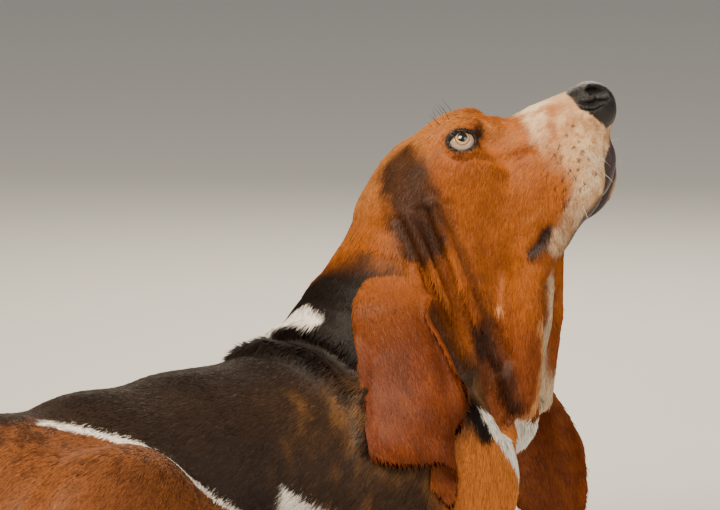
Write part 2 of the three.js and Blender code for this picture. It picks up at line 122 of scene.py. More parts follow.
TRUNK = [
    mass([-226, 0, 136], [100, 96, 102]),  # rump
    mass([-266, 0, 112], [60, 92, 94]),  # buttocks
    mass([-120, -2, 128], [125, 98, 114]),  # loin and belly
    mass([-15, -4, 126], [130, 110, 118], -4),  # back ribs
    mass([75, -14, 125], [128, 116, 119], CHEST_TURN),  # front ribs
    mass([120, -24, 202], [90, 62, 52], CHEST_TURN, 8),  # withers
    mass([205, -48, 122], [104, 92, 96], CHEST_TURN - 6),  # breast
    mass([60, -8, 60], [190, 96, 66], CHEST_TURN),  # breastbone and belly on the floor
]
NECK = [
    run([[158, -32, 190, 92], [190, -44, 250, 80], [214, -56, 306, 68], [222, -60, 335, 62]]),
    run([[196, -40, 215, 88], [245, -88, 262, 58]]),
]
SKULL = [
    mass([-6, 0, 2], [60, 51, 48]),  # cranium
    mass([-54, 0, 6], [24, 20, 20]),  # peak at the back of the skull
    *both(mass([29, 25, 33], [34, 20, 17], 0, -4)),  # brows
    *both(mass([62, 17, 19], [15, 9, 10], 0, -20)),  # frown at the inner ends of the brows
    *both(mass([10, 38, -10], [50, 17, 40])),  # cheekbones
    run([[40, 0, -14, 37], [100, 0, -11, 30], [142, 0, -12, 25]]),  # muzzle
    mass([150, 0, -10], [18, 22, 20]),  # nose
    mass([122, 0, -42], [26, 25, 33]),  # upper lips where they meet
    mass([90, -27, -49], [43, 17, 41], 4),  # hanging upper lip, right
    mass([95, 27, -54], [46, 17, 43], -4),  # hanging upper lip, left
    *both(mass([52, 32, -64], [46, 19, 41], 0, 14)),  # back of the lips
    run([[0, 0, -62, 34], [112, 0, -66, 17]]),  # lower jaw
    mass([-18, 0, -46], [62, 52, 58]),  # jaw corners and throat
]
THROAT = [
    run([[40, -34, -92, 20], [5, -36, -135, 24], [-36, -36, -180, 27], [-62, -34, -196, 24]]),
    run([[45, 6, -92, 22], [12, 10, -140, 24], [-30, 12, -190, 27], [-62, 10, -215, 24]]),
    run([[-20, -48, -60, 20], [-48, -50, -118, 20], [-66, -46, -168, 22]]),
    run([[-20, 48, -60, 20], [-48, 50, -118, 20], [-66, 40, -168, 22]]),
]
TAIL_LINE = [
    [-300, 0, 120, 34], [-332, -4, 84, 24], [-356, -14, 44, 19], [-372, -34, 20, 17],
    [-378, -72, 13, 15], [-368, -122, 11, 13], [-344, -168, 9, 11], [-316, -200, 7, 9],
]


def foreleg(side):
    toes = []
    for i, dy in enumerate([-24, -8, 9, 25]):
        reach = 46 if i in (0, 3) else 60
        tip = [312 + reach, side * (74 + dy + reach * 0.12) - 46, 15, 16]
        toes.append([[320, side * (74 + dy * 0.8) - 46, 24, 16], tip])
    arm = run([
        [120, side * 98 - 24, 62, 42],
        [150, side * 92 - 30, 44, 40],
        [250, side * 76 - 40, 34, 33],
        [305, side * 74 - 46, 28, 30],
    ])
    shoulder = mass([178 + side * 20, side * 97 - 31, 128], [88, 40, 92], CHEST_TURN, -30)
    return {"name": "foreleg", "side": side, "upper": [shoulder], "limb": [arm], "toes": toes}


def hindleg(side):
    toes = []
    for i, dy in enumerate([-21, -7, 8, 22]):
        reach = 40 if i in (0, 3) else 52
        tip = [-78 + reach, side * (148 + dy + reach * 0.1), 14, 14.5]
        toes.append([[-78, side * (146 + dy * 0.8), 22, 14], tip])
    thigh = [
        mass([-192, side * 96, 116], [106, 54, 106], -side * 4, -14),
        mass([-112, side * 116, 84], [62, 40, 66], 0, -20),  # knee
    ]
    limb = [
        run([[-110, side * 122, 60, 42], [-200, side * 128, 38, 32], [-232, side * 132, 26, 24]]),
        run([[-232, side * 134, 24, 23], [-150, side * 142, 22, 22], [-85, side * 146, 22, 24]]),
    ]
    return {"name": "hindleg", "side": side, "upper": thigh, "limb": limb, "toes": toes}


LEGS = [foreleg(1), foreleg(-1), hindleg(1), hindleg(-1)]
BODY = TRUNK + [m for leg in LEGS for m in leg["upper"]] + NECK
LIMBS = [m for leg in LEGS for m in leg["limb"] + [run(t) for t in leg["toes"]]] + [run(TAIL_LINE)]
FACE = [on_head(m) for m in SKULL + THROAT]

# Between the toes
TOE_CREASES = []
for leg in LEGS:
    for (from_a, tip_a), (from_b, tip_b) in zip(leg["toes"], leg["toes"][1:]):
        start = (np.array(from_a) + from_b) / 2 + [6, 0, 17, 0]
        end = (np.array(tip_a) + tip_b) / 2 + [14, 0, 10, 0]
        start[3], end[3] = 1.5, 3.0
        TOE_CREASES.append((run([start, end]), 5))

# Nostrils and the slits behind them, in the head's frame
NOSTRILS = [
    *[(on_head(m), 3) for m in both(run([[166, 13, -5, 5.6], [156, 12, 0, 5.0]]))],
    *[(on_head(m), 2) for m in both(run([
        [160, 19, -9, 2.6], [151, 22.5, -8, 2.6], [143, 24, -3, 2.2], [137, 22, 5, 1],
    ]))],
    (on_head(run([[168, 0, -18, 1.6], [160, 0, -32, 1.8], [150, 0, -46, 1.6]])), 3),
]


# Fields: each space gives the coordinates of its places near a muscle, so that far ones cost nothing


class Lattice:
    def __init__(self, axes):
        self.axes = axes
        self.shape = tuple(len(a) for a in axes)

    def near(self, low, high):
        cut = tuple(slice(*np.searchsorted(a, (lo, hi))) for a, lo, hi in zip(self.axes, low, high))
        x, y, z = (a[c] for a, c in zip(self.axes, cut))
        return cut, x[:, None, None], y[None, :, None], z[None, None, :]


class Cloud:
    def __init__(self, points):
        self.points = np.asarray(points, np.float32)
        self.shape = (len(points),)

    def near(self, low, high):
        hit = np.flatnonzero(np.all((self.points >= low) & (self.points <= high), axis=1))
        x, y, z = self.points[hit].T
        return hit, x, y, z


def reach_of(muscle):
    if "points" in muscle:
        p = muscle["points"]
        return (p[:, :3] - p[:, 3:]).min(0), (p[:, :3] + p[:, 3:]).max(0)
    half = np.sqrt(((muscle["axes"] * muscle["r"]) ** 2).sum(1))
    return muscle["at"] - half, muscle["at"] + half


def distance(muscle, x, y, z):
    if "points" in muscle:
        best = None
        for a, b in zip(muscle["points"], muscle["points"][1:]):
            ax, ay, az, ar = (float(v) for v in a)
            dx, dy, dz, dr = (float(v) for v in b - a)
            px, py, pz = x - ax, y - ay, z - az
            t = np.clip((px * dx + py * dy + pz * dz) / (dx * dx + dy * dy + dz * dz), 0, 1)
            d = np.sqrt((px - t * dx) ** 2 + (py - t * dy) ** 2 + (pz - t * dz) ** 2) - ar - dr * t
            best = d if best is None else np.minimum(best, d)
        return best
    cx, cy, cz = (float(v) for v in muscle["at"])
    px, py, pz = x - cx, y - cy, z - cz
    u, v, w = ((px * float(a[0]) + py * float(a[1]) + pz * float(a[2])) / float(r)
               for a, r in zip(muscle["axes"].T, muscle["r"]))
    near = np.sqrt(u * u + v * v + w * w)
    rx, ry, rz = (float(r) for r in muscle["r"])
    slope = np.sqrt((u / rx) ** 2 + (v / ry) ** 2 + (w / rz) ** 2)
    return near * (near - 1) / np.maximum(slope, 1e-6)


def smooth_min(a, b, k):
    h = np.maximum(0, k - np.abs(a - b)) / k
    return np.minimum(a, b) - h * h * (k / 4)


FAR = 200.0
LIMB_SMOOTH = 9
LIMB_JOIN = 18
HEAD_JOIN = 16


def merge(space, value, muscle, k, margin, sign=1):
    """Joins a muscle smoothly to a field where it is near, or cuts it away where sign is -1."""
    low, high = reach_of(muscle)
    cut, x, y, z = space.near(low - k - margin, high + k + margin)
    value[cut] = sign * smooth_min(sign * value[cut], distance(muscle, x, y, z), k)


def blended(space, muscles, k):
    value = np.full(space.shape, FAR, np.float32)
    for muscle in muscles:
        merge(space, value, muscle, k, 14)
    return value


def plain_field(space):
    value = smooth_min(blended(space, BODY, SMOOTH), blended(space, LIMBS, LIMB_SMOOTH), LIMB_JOIN)
    return smooth_min(value, blended(space, FACE, FACE_SMOOTH), HEAD_JOIN)


def slope_of(field, points, step=0.7):
    """A field's value at points and its slope there."""
    here = field(Cloud(points))
    slope = np.stack([(field(Cloud(points + offset)) - here) / step for offset in np.eye(3) * step], 1)
    return here, slope


def on_surface(line, sunk):
    """The line's points brought onto the plain surface, then sunk into it (or raised, if negative)."""
    places = np.array(line, float)
    points = places[:, :3].copy()
    for _ in range(6):
        here, slope = slope_of(plain_field, points)
        size = (slope ** 2).sum(1)
        points -= slope * np.clip(here / np.maximum(size, 0.2), -12, 12)[:, None]
    here, slope = slope_of(plain_field, points)
    slope /= np.linalg.norm(slope, axis=1)[:, None]
    depth = np.broadcast_to(sunk, len(points))
    return run(np.concatenate([points - slope * depth[:, None], places[:, 3:]], 1))


def head_line(points, side):
    return [[*head_point(x, side * y, z), r] for x, y, z, r in points]


# Finer forms that the skin has over the solids: folds stand up, creases cut in. Each is a line near the
# surface with a radius at each place, how deep it is sunk and how smoothly it meets the skin.
RIGHT_CHEEK_FOLD = [
    [183, -103, 372, 5], [186, -118, 340, 9], [190, -130, 305, 11], [200, -142, 270, 11],
    [214, -150, 238, 7],
]
SECOND_FOLD = [
    [166, -88, 362, 5], [172, -106, 330, 8], [180, -122, 292, 9], [190, -132, 262, 7], [198, -140, 236, 4],
]
LEFT_CHEEK_FOLD = [
    [254, 12, 372, 5], [262, 2, 340, 9], [270, -6, 305, 11], [282, -16, 270, 11], [292, -30, 238, 7],
]
WITHERS_ROLL = [
    [96, 64, 222, 5], [84, 30, 238, 10], [82, -8, 242, 12], [86, -46, 236, 11], [96, -84, 214, 6],
]
NAPE_ROLL = [[116, 50, 254, 4], [106, 14, 262, 8], [108, -26, 262, 8], [118, -62, 246, 4]]
SHOULDER_ROLLS = [
    ([[140, -96, 236, 6], [124, -104, 204, 9], [112, -110, 172, 7]], 2, 9),
    ([[120, -88, 250, 5], [96, -98, 206, 8], [84, -104, 172, 6]], 2, 9),
    ([[150, 60, 236, 5], [130, 78, 204, 8], [116, 92, 172, 6]], 4, 12),
]
DEWLAP_ROLL = [
    [226, -152, 222, 6], [234, -156, 200, 9], [254, -156, 190, 10], [278, -146, 190, 9], [296, -124, 196, 6],
]
ROLLS = [
    (RIGHT_CHEEK_FOLD, 1, 6),
    (SECOND_FOLD, 1, 5),
    (LEFT_CHEEK_FOLD, 1, 6),
    (WITHERS_ROLL, 5, 14),
    (NAPE_ROLL, 4, 12),
    *SHOULDER_ROLLS,
    (DEWLAP_ROLL, 3, 8),
]
UNDER_DEWLAP = [
    [206, -138, 268, 3], [208, -148, 240, 5], [208, -156, 212, 6], [218, -162, 184, 6], [244, -160, 174, 6],
    [272, -150, 174, 6], [296, -132, 178, 4],
]
CHEEK_CREASE = [
    [196, -112, 372, 2], [197, -128, 335, 5], [203, -140, 300, 7], [212, -148, 268, 7], [222, -154, 240, 4],
]
SECOND_CREASE = [
    [176, -96, 368, 2], [179, -114, 330, 5], [186, -126, 296, 6], [194, -136, 262, 6], [204, -144, 236, 3],
]
THIRD_CREASE = [
    [160, -80, 360, 2], [163, -98, 326, 4], [170, -114, 290, 5], [180, -126, 256, 5], [190, -134, 232, 3],
]
LEFT_CREASE = [
    [244, 6, 372, 2], [250, -12, 335, 5], [256, -20, 300, 7], [268, -28, 268, 6], [280, -40, 240, 4],
]
THROAT_CREASE = [
    [262, -158, 322, 2], [256, -164, 300, 6], [256, -166, 272, 6], [261, -164, 240, 6], [264, -158, 208, 5],
    [258, -148, 186, 4],
]
LEFT_THROAT_CREASE = [[300, -110, 300, 2], [302, -104, 272, 4], [304, -98, 240, 4], [302, -96, 208, 4]]
WITHERS_CREASE = [
    [100, 60, 244, 3], [94, 24, 256, 5], [95, -14, 258, 6], [100, -54, 248, 5], [110, -84, 226, 3],
]
UNDER_EYE = [[46, 44, 6, 1.5], [60, 40, -4, 2.5], [84, 36, -14, 1.5]]
LIP_CORNER = [[42, 48, -85, 2], [52, 47, -83, 4], [66, 45, -76, 2.5]]
# Creases that are also painted dark inside, as painted shade
SHADE_PAINTED_CREASES = [CHEEK_CREASE, SECOND_CREASE, THIRD_CREASE, LEFT_CREASE, THROAT_CREASE, UNDER_DEWLAP]
GROOVES = [
    *[(line, -0.5, 5) for line in SHADE_PAINTED_CREASES],
    (LEFT_THROAT_CREASE, 0, 6),
    (WITHERS_CREASE, 0, 8),
    *[(head_line(UNDER_EYE, side), -0.5, 8) for side in (-1, 1)],
    *[(head_line(LIP_CORNER, side), -0.5, 5) for side in (-1, 1)],
]
# The edge of the upper lip over the lower one
LIP_LINE = [
    [149, 10, -36, 1.5], [145, 13, -44, 2.2], [132, 16, -59, 3], [114, 17, -78, 3.4], [94, 18, -93, 3.4],
    [70, 22, -107, 3], [52, 30, -108, 1.5],
]


def with_details(space, value):
    """Folds added to a field and creases cut from it."""
    for details, sign in ((FOLDS, 1), (CREASES, -1)):
        for muscle, k in details:
            merge(space, value, muscle, k, 8, sign)
    return value


def eye_centre(side):
    return head_point(EYE_AT[0], side * EYE_AT[1], EYE_AT[2])


# Where each eye's opening faces, in the head's frame, mirrored on the left
LID_FACING = np.array([0.32, -0.92, 0.10])
LID_FACING /= np.linalg.norm(LID_FACING)
LID_LINE = np.array([0.80, 0.20, -0.36])  # from the outer corner to the inner one
LID_THICK = 2.3
LID_SMOOTH = 5
LID_EDGE = 2.2  # how softly the opening's edge is rounded
LID_REACH = 30
OPENING = (10.6, 7.2)  # half-width and half-height
EYE_GAP = 0.15  # between the eyeball and the skin


def lid_axes(side):
    out = LID_FACING * [1, -side, 1]
    line = LID_LINE * [1, -side, 1]
    line = line - out * (line @ out)
    line /= np.linalg.norm(line)
    up = np.cross(out, line) * -side
    return HEAD @ out, HEAD @ line, HEAD @ up


def with_lids(space, value):
    """Skin closes round each eyeball and leaves it an opening of the lids' shape."""
    for side in (-1, 1):
        centre = eye_centre(side)
        out, line, up = lid_axes(side)
        cut, x, y, z = space.near(centre - LID_REACH, centre + LID_REACH)
        px, py, pz = x - centre[0], y - centre[1], z - centre[2]
        d = np.sqrt(px * px + py * py + pz * pz)
        ahead, along, above = (px * a[0] + py * a[1] + pz * a[2] for a in (out, line, up))
        lid = smooth_min(value[cut], d - EYE_RADIUS - LID_THICK, LID_SMOOTH)
        corner = np.maximum(0, 1 - (along / OPENING[0]) ** 2)
        tall = OPENING[1] * np.sqrt(corner + 0.02)
        hole = np.maximum(np.abs(above) - tall, np.abs(along) - OPENING[0])
        hole = np.maximum(hole, -ahead)
        lid = -smooth_min(-lid, hole, LID_EDGE)
        ball = d - EYE_RADIUS - EYE_GAP
        value[cut] = np.maximum(lid, -ball)
    return value


FACE_MIDDLE = head_point(50, 0, -30)
FACE_REACH = 190
FACE_EDGE = 70  # over which the coat gets deeper round the face


def coat_depth(space):
    """How deep the skin lies under the solids: less on the face."""
    depth = np.full(space.shape, BODY_COAT, np.float32)
    cut, x, y, z = space.near(FACE_MIDDLE - FACE_REACH - 10, FACE_MIDDLE + FACE_REACH + 10)
    px, py, pz = x - FACE_MIDDLE[0], y - FACE_MIDDLE[1], z - FACE_MIDDLE[2]
    far = np.sqrt(px ** 2 + py ** 2 + pz ** 2)
    depth[cut] -= (BODY_COAT - FACE_COAT) * np.clip((FACE_REACH - far) / FACE_EDGE, 0, 1)
    return depth


FOLDS = [(on_surface(line, sunk), k) for line, sunk, k in ROLLS]
# The creases that get painted shade, brought onto the surface
SHADE_PAINTED_CREASE_LINES = [on_surface(line, 0) for line in SHADE_PAINTED_CREASES]
CREASES = [(on_surface(line, sunk), k) for line, sunk, k in GROOVES]
CREASES += [(on_surface(head_line(LIP_LINE, side), 0), 4) for side in (-1, 1)]
CREASES += NOSTRILS + TOE_CREASES
# The middle of the white patch on the nape
COLLAR = on_surface([[110, 38, 266, 0], [118, 6, 274, 0], [120, -18, 274, 0], [118, -36, 270, 0]], 0)


def dog_field(space):
    value = with_details(space, plain_field(space))
    value = value + coat_depth(space)
    value = with_lids(space, value)
    cut, _, _, z = space.near([-1e4] * 3, [1e4] * 3)
    value[cut] = np.maximum(value[cut], FLOOR_GAP - z)
    return value


# The skin's mesh


def axis_points(knots):
    """Places along an axis whose spacing runs between (place, spacing) knots."""
    at, spacing = np.array(knots, float).T
    points = [at[0]]
    while points[-1] < at[-1]:
        points.append(points[-1] + np.interp(points[-1], at, spacing))
    return np.array(points, np.float32)


COARSE = 8.0
FINE = 2.1
LATTICE = Lattice([
    axis_points([(-412, COARSE), (90, COARSE), (180, FINE), (345, FINE), (400, FINE * 1.4)]),
    axis_points([(-236, FINE * 2), (-190, FINE), (-15, FINE), (70, COARSE), (204, COARSE)]),
    axis_points([
        (-8, COARSE * 0.6), (60, COARSE * 0.8), (190, COARSE), (290, FINE * 1.5), (335, FINE), (492, FINE),
    ]),
])


def net_of(value, axes):
    """The surface as a mesh of quads, one point in each cell that the surface crosses."""
    inside = value < 0
    corners = [(i, j, k) for i in (0, 1) for j in (0, 1) for k in (0, 1)]
    window = [tuple(slice(c, n - 1 + c) for c, n in zip(corner, value.shape)) for corner in corners]
    any_in = np.logical_or.reduce([inside[w] for w in window])
    all_in = np.logical_and.reduce([inside[w] for w in window])
    cells = np.argwhere(any_in & ~all_in)
    at_corner = {c: value[tuple((cells + c).T)] for c in corners}
    total = np.zeros((len(cells), 3))
    crossings = np.zeros(len(cells))
    for axis in range(3):
        for a in corners:
            if a[axis]:
                continue
            b = tuple(1 if i == axis else v for i, v in enumerate(a))
            va, vb = at_corner[a], at_corner[b]
            crossed = (va < 0) != (vb < 0)
            t = np.where(crossed, va / np.where(crossed, va - vb, 1), 0)
            place = np.tile(np.array(a, float), (len(cells), 1))
            place[:, axis] = t
            total += place * crossed[:, None]
            crossings += crossed
    in_cells = cells + total / crossings[:, None]
    points = np.stack([np.interp(in_cells[:, i], np.arange(len(a)), a) for i, a in enumerate(axes)], 1)
    index = np.full(any_in.shape, -1, np.int32)
    index[tuple(cells.T)] = np.arange(len(cells))
    quads = []
    for axis in range(3):
        u, v = (axis + 1) % 3, (axis + 2) % 3
        low = tuple(slice(0, -1) if i == axis else slice(1, -1) for i in range(3))
        high = tuple(slice(1, None) if i == axis else slice(1, -1) for i in range(3))
        changes = inside[low] != inside[high]
        edges = np.argwhere(changes)
        edges[:, u] += 1
        edges[:, v] += 1
        starts_in = inside[tuple(edges.T)]
        ring = []
        for du, dv in ((0, 0), (1, 0), (1, 1), (0, 1)):
            cell = edges.copy()
            cell[:, u] -= du
            cell[:, v] -= dv
            ring.append(index[tuple(cell.T)])
        ring = np.stack(ring, 1)
        ring[~starts_in] = ring[~starts_in][:, ::-1]
        quads.append(ring)
    return points, np.concatenate(quads)


def settled(points, most):
    """Points moved onto the skin by the field's slope."""
    here, slope = slope_of(dog_field, points)
    size = np.maximum(0.3, (slope ** 2).sum(1))
    step = np.clip(here / size, -most, most)
    return points - slope * step[:, None]


# Ears: leaves that hang along a line from root to tip and curl at their front edges

EAR_ROWS = 66
EAR_COLUMNS = 42
EARS = {
    "right": {
        "line": [[160, -74, 358], [137, -98, 296], [134, -121, 254], [128, -137, 222], [117, -156, 192],
                 [116, -166, 160], [120, -173, 128]],
        "facing": [-0.62, -0.76, 0.1],
        "half_widths": [17, 33, 46, 51, 53, 55, 52],
        "rear_turns": [0.2, 0.5, 0.6, 0.5, 0.5, 0.6, 0.6],
        "front_turns": [0.2, 0.4, 0.6, 1.1, 2.1, 3.0, 3.3],
        "reaches": [0.73, 0.76, 0.78, 0.79, 0.81, 0.9, 1.0, 0.9],
        "hem": 3.0,
    },
    "left": {
        "line": [[252, -6, 356], [280, -16, 310], [300, -42, 265], [311, -66, 220], [324, -86, 172],
                 [341, -102, 118], [356, -115, 54]],
        "facing": [0.85, 0.5, 0.15],
        "half_widths": [17, 30, 36, 33, 30, 37, 43],
        "rear_turns": [0.2, 0.5, 0.5, 0.5, 0.5, 0.4, 0.4],
        "front_turns": [0.3, 0.5, 0.6, 1.0, 1.0, 0.8, 0.7],
        "reaches": [0.8, 0.9, 0.96, 1, 1, 0.98, 0.93, 0.84],
        "hem": 1.2,
    },
}


def through(knots, t):
    """Smooth curve through even knots, at t from 0 to 1, with its slope."""
    knots = np.array(knots, float)
    single = knots.ndim == 1
    if single:
        knots = knots[:, None]
    n = len(knots) - 1
    padded = np.vstack([2 * knots[0] - knots[1], knots, 2 * knots[-1] - knots[-2]])
    s = np.clip(np.asarray(t, float), 0, 1) * n
    i = np.minimum(s.astype(int), n - 1)
    f = (s - i)[..., None]
    p0, p1, p2, p3 = (padded[i + k] for k in range(4))
    value = 0.5 * (2 * p1 + (p2 - p0) * f + (2 * p0 - 5 * p1 + 4 * p2 - p3) * f**2
                   + (3 * p1 - p0 - 3 * p2 + p3) * f**3)
    bend = 2 * (2 * p0 - 5 * p1 + 4 * p2 - p3)
    slope = 0.5 * ((p2 - p0) + bend * f + 3 * (3 * p1 - p0 - 3 * p2 + p3) * f**2)
    if single:
        return value[..., 0], slope[..., 0]
    return value, slope


def unit(v):
    return v / np.maximum(np.linalg.norm(v, axis=-1, keepdims=True), 1e-9)


def ear_layers(shape):
    """Points of an ear's middle sheet, its outward side and its downward lie, in rows and columns."""
    rows = np.linspace(0, 1, EAR_ROWS + 1)[:, None]
    columns = np.linspace(0, 1, EAR_COLUMNS + 1)[None, :]
    t = rows * through(shape["reaches"], columns)[0]
    centre, down = through(shape["line"], t)
    down = unit(down)
    across = unit(np.cross(np.array(shape["facing"], float), down))
    out = unit(np.cross(down, across))
    half, rear, front = (through(shape[key], t)[0] for key in ("half_widths", "rear_turns", "front_turns"))
    c = 2 * columns - 1 + 0 * t
    hem = shape["hem"] * fade(0.4, 1.0, c) * fade(0.14, 0.3, t) * fade(0.66, 0.48, t)
    angle = np.where(c < 0, rear * -c, -front * fade(-0.05, 0.9, c)) + hem
    step = 2 * half / EAR_COLUMNS
    x = np.cumsum(step * np.cos(angle), axis=1)
    y = np.cumsum(step * np.sin(angle), axis=1)
    middle = EAR_COLUMNS // 2
    x = x - x[:, middle:middle + 1]
    y = y - y[:, middle:middle + 1]
    # long soft waves, and shorter ones towards the tip
    wave = 2.4 * np.sin(9 * rows + 3.5 * columns) * rows * (0.4 + columns)
    wave = wave + 1.3 * np.sin(23 * rows - 5 * columns) * fade(0.5, 0.8, rows)
    points = centre + across * x[..., None] + out * (y + wave)[..., None]
    face = unit(-across * np.sin(angle)[..., None] + out * np.cos(angle)[..., None])
    return points, face, down, t


def sheet(index):
    """Quads over a grid of point numbers."""
    return np.stack([index[:-1, :-1], index[1:, :-1], index[1:, 1:], index[:-1, 1:]], -1).reshape(-1, 4)


def strip(a, b):
    """Quads between two rows of point numbers."""
    return np.stack([a[:-1], a[1:], b[1:], b[:-1]], 1)


def ear_mesh(shape):
    """An ear as a closed leaf: points, quads, lie of its hair, place from root to tip, and outward side."""
    points, face, down, t = ear_layers(shape)
    flat = points.reshape(-1, 3)
    # the root lies sunk in the head, so that the skin runs on into the ear
    sunk = fade(0.2, 0.03, t.ravel())
    clear = EAR_CLEARANCE - EAR_ROOT * sunk
    for _ in range(4):
        here, slope = slope_of(plain_field, flat)
        pull = np.where(here < clear, 1, sunk)
        flat = flat + (np.clip(clear - here, -20, 20) * pull)[:, None] * unit(slope)
    inner = flat.reshape(points.shape)
    # cells to the nearest free edge, where the leaf thins out
    across = np.arange(EAR_COLUMNS + 1.0)[None, :] + 0 * t
    upward = np.arange(EAR_ROWS, -1.0, -1)[:, None] + 0 * t
    rim = np.minimum.reduce([across, EAR_COLUMNS - across, upward])
    thick = (EAR_THICK - 2 * FACE_COAT) * np.sqrt(np.clip((rim + 0.6) / 3.5, 0, 1))
    middle = inner + face * (EAR_THICK / 2)
    outer = middle + face * thick[..., None] / 2
    inner = middle - face * thick[..., None] / 2
    n_rows, n_columns = inner.shape[:2]
    over = np.arange(n_rows * n_columns).reshape(n_rows, n_columns)
    under = over + over.size
    quads = [sheet(over), sheet(under)[:, ::-1]]
    quads += [strip(over[:, -1], under[:, -1]), strip(under[:, 0], over[:, 0])]
    quads += [strip(over[0], under[0]), strip(under[-1], over[-1])]
    points = np.concatenate([outer.reshape(-1, 3), inner.reshape(-1, 3)])
    lie = np.tile(down.reshape(-1, 3), (2, 1))
    along = np.tile(t.ravel(), 2)
    is_outer = np.concatenate([np.ones(t.size), np.zeros(t.size)])
    return points, np.concatenate(quads), lie, along, is_outer


# Lie of the coat: guides say which way hair lies near a place, and how far each one is heard


def paired(*guides):
    """Each guide on both sides of the middle."""
    return [((x, side * y, z), lies, heard) for (x, y, z), lies, heard in guides for side in (-1, 1)]


# In the head's frame
HEAD_GUIDES = [
    ((150, 0, 10), (-1, 0, 0.2), 22), ((110, 0, 20), (-1, 0, 0), 30), ((60, 0, 25), (-1, 0, 0.1), 30),
    ((20, 0, 50), (-1, 0, 0), 35), ((-40, 0, 40), (-1, 0, -0.4), 40),
    *paired(
        ((130, 25, -30), (-0.9, 0, -0.3), 26), ((90, 40, -50), (-0.8, 0, -0.6), 30),
        ((60, 45, -95), (-0.3, 0, -1), 30), ((30, 50, -30), (-0.7, 0, -0.7), 40),
        ((-30, 50, -10), (-0.5, 0, -0.9), 40),
    ),
    ((110, 0, -95), (-0.8, 0, -0.4), 25), ((0, 0, -120), (-0.45, 0, -0.9), 50),
]
NECK_GUIDES = [
    ((170, 0, 330), (-0.6, 0, -0.8), 45), ((130, -20, 270), (-0.8, 0, -0.5), 45),
    ((180, -110, 280), (-0.1, 0, -1), 45), ((200, 40, 270), (-0.2, 0.3, -1), 50),
    ((250, -130, 240), (0, 0, -1), 45), ((300, -90, 240), (0, 0, -1), 45),
]
TRUNK_GUIDES = [
    ((80, -20, 245), (-1, 0, -0.1), 60), ((-60, 0, 240), (-1, 0, 0), 70), ((-200, 0, 235), (-1, 0, 0), 70),
    ((60, -120, 170), (-0.75, 0, -0.65), 60), ((60, 110, 170), (-0.75, 0, -0.65), 60),
    *paired(
        ((-60, 105, 150), (-0.9, 0, -0.4), 60), ((-60, 100, 50), (-0.9, 0, -0.3), 60),
        ((-190, 120, 170), (-0.75, 0, -0.7), 60), ((-150, 145, 90), (-0.3, 0, -0.95), 50),
    ),
    ((-310, 0, 150), (-0.5, 0, -0.85), 50), ((-300, 0, 60), (-0.2, 0, -1), 50),
]
FRONT_GUIDES = [
    ((200, -140, 160), (-0.35, 0, -0.95), 50), ((220, 80, 160), (-0.35, 0, -0.95), 50),
    ((300, -55, 150), (0, 0, -1), 50), ((180, -140, 80), (0.3, 0, -0.9), 45),
    ((180, 80, 80), (0.3, 0, -0.9), 45), ((240, -118, 35), (1, 0, -0.2), 45),
    ((240, 35, 35), (1, 0, -0.2), 45),
    ((340, -120, 25), (1, 0, -0.3), 40), ((340, 28, 25), (1, 0, -0.3), 40),
]
HIND_FOOT_GUIDES = paired(((-150, 145, 25), (1, 0, -0.2), 36), ((-60, 148, 20), (1, 0, -0.3), 36))
TAIL_GUIDES = [(a[:3], np.subtract(b[:3], a[:3]), 22) for a, b in zip(TAIL_LINE, TAIL_LINE[1:])]
GUIDES = [(head_point(*at), HEAD @ np.array(lies, float), heard) for at, lies, heard in HEAD_GUIDES]
GUIDES += NECK_GUIDES + TRUNK_GUIDES + FRONT_GUIDES + HIND_FOOT_GUIDES + TAIL_GUIDES


def lie_at(points, normals):
    total = np.zeros(points.shape)
    for at, direction, heard in GUIDES:
        d2 = ((points - np.array(at, float)) ** 2).sum(1)
        weight = np.exp(-d2 / (2 * heard * heard)) + 1e-6 / (1 + d2 * 1e-4)
        total += weight[:, None] * unit(np.array(direction, float))
    flat = total - normals * (total * normals).sum(1)[:, None]
    return unit(flat)


# Noise with no seam: random values on a lattice, smoothly joined

TABLE = rng.random((64, 64, 64)).astype(np.float32)


def noise(points, scale):
    p = points / scale
    cell = np.floor(p).astype(int)
    f = p - cell
    f = f * f * (3 - 2 * f)
    total = np.zeros(len(points))
    for i in (0, 1):
        for j in (0, 1):
            for k in (0, 1):
                weight = np.ones(len(points))
                for axis, bit in enumerate((i, j, k)):
                    weight = weight * (f[:, axis] if bit else 1 - f[:, axis])
                a, b, c = ((cell + (i, j, k)) % 64).T
                total += weight * TABLE[a, b, c]
    return total


def rough(points, scale):
    """Noise of three sizes, about -1 to 1."""
    middling = noise(points + 31, scale / 2.2)
    small = noise(points + 77, scale / 5)
    return (noise(points, scale) * 4 + middling * 2 + small) / 3.5 - 1


# Colours


def linear(r, g, b):
    srgb = np.array([r, g, b], float) / 255
    return np.where(srgb <= 0.04045, srgb / 12.92, ((srgb + 0.055) / 1.055) ** 2.4)


TAN = linear(150, 80, 22)
BRIGHT_TAN = linear(186, 108, 46)
DEEP_TAN = linear(118, 56, 24)
PALE_TAN = linear(198, 140, 86)
MAHOGANY = linear(98, 43, 13)
BLACK = linear(23, 14, 10)
# The saddle's black, lighter than BLACK: painted sheen of light on the back
BLACK_WITH_PAINTED_SHEEN = linear(43, 31, 24)
GOLD_BROWN = linear(120, 82, 44)
HAUNCH = linear(116, 68, 35)
WHITE = linear(236, 228, 218)
CREAM = linear(234, 198, 152)
# Pale hair greyed as painted shade, on the lip's edge, the chin and the throat
PALE_HAIR_IN_PAINTED_SHADE = linear(203, 181, 152)
WARM_WHITE = linear(250, 224, 184)
LEATHER = linear(18, 11, 9)
NOSTRIL_PAINTED_SHADE = linear(7, 5, 5)
LIP = linear(48, 32, 36)
LID_SKIN = linear(17, 12, 11)
EYE_CORNER = linear(34, 22, 18)
WHISKER_DOT = linear(46, 28, 22)
SPECKLE = linear(58, 38, 30)
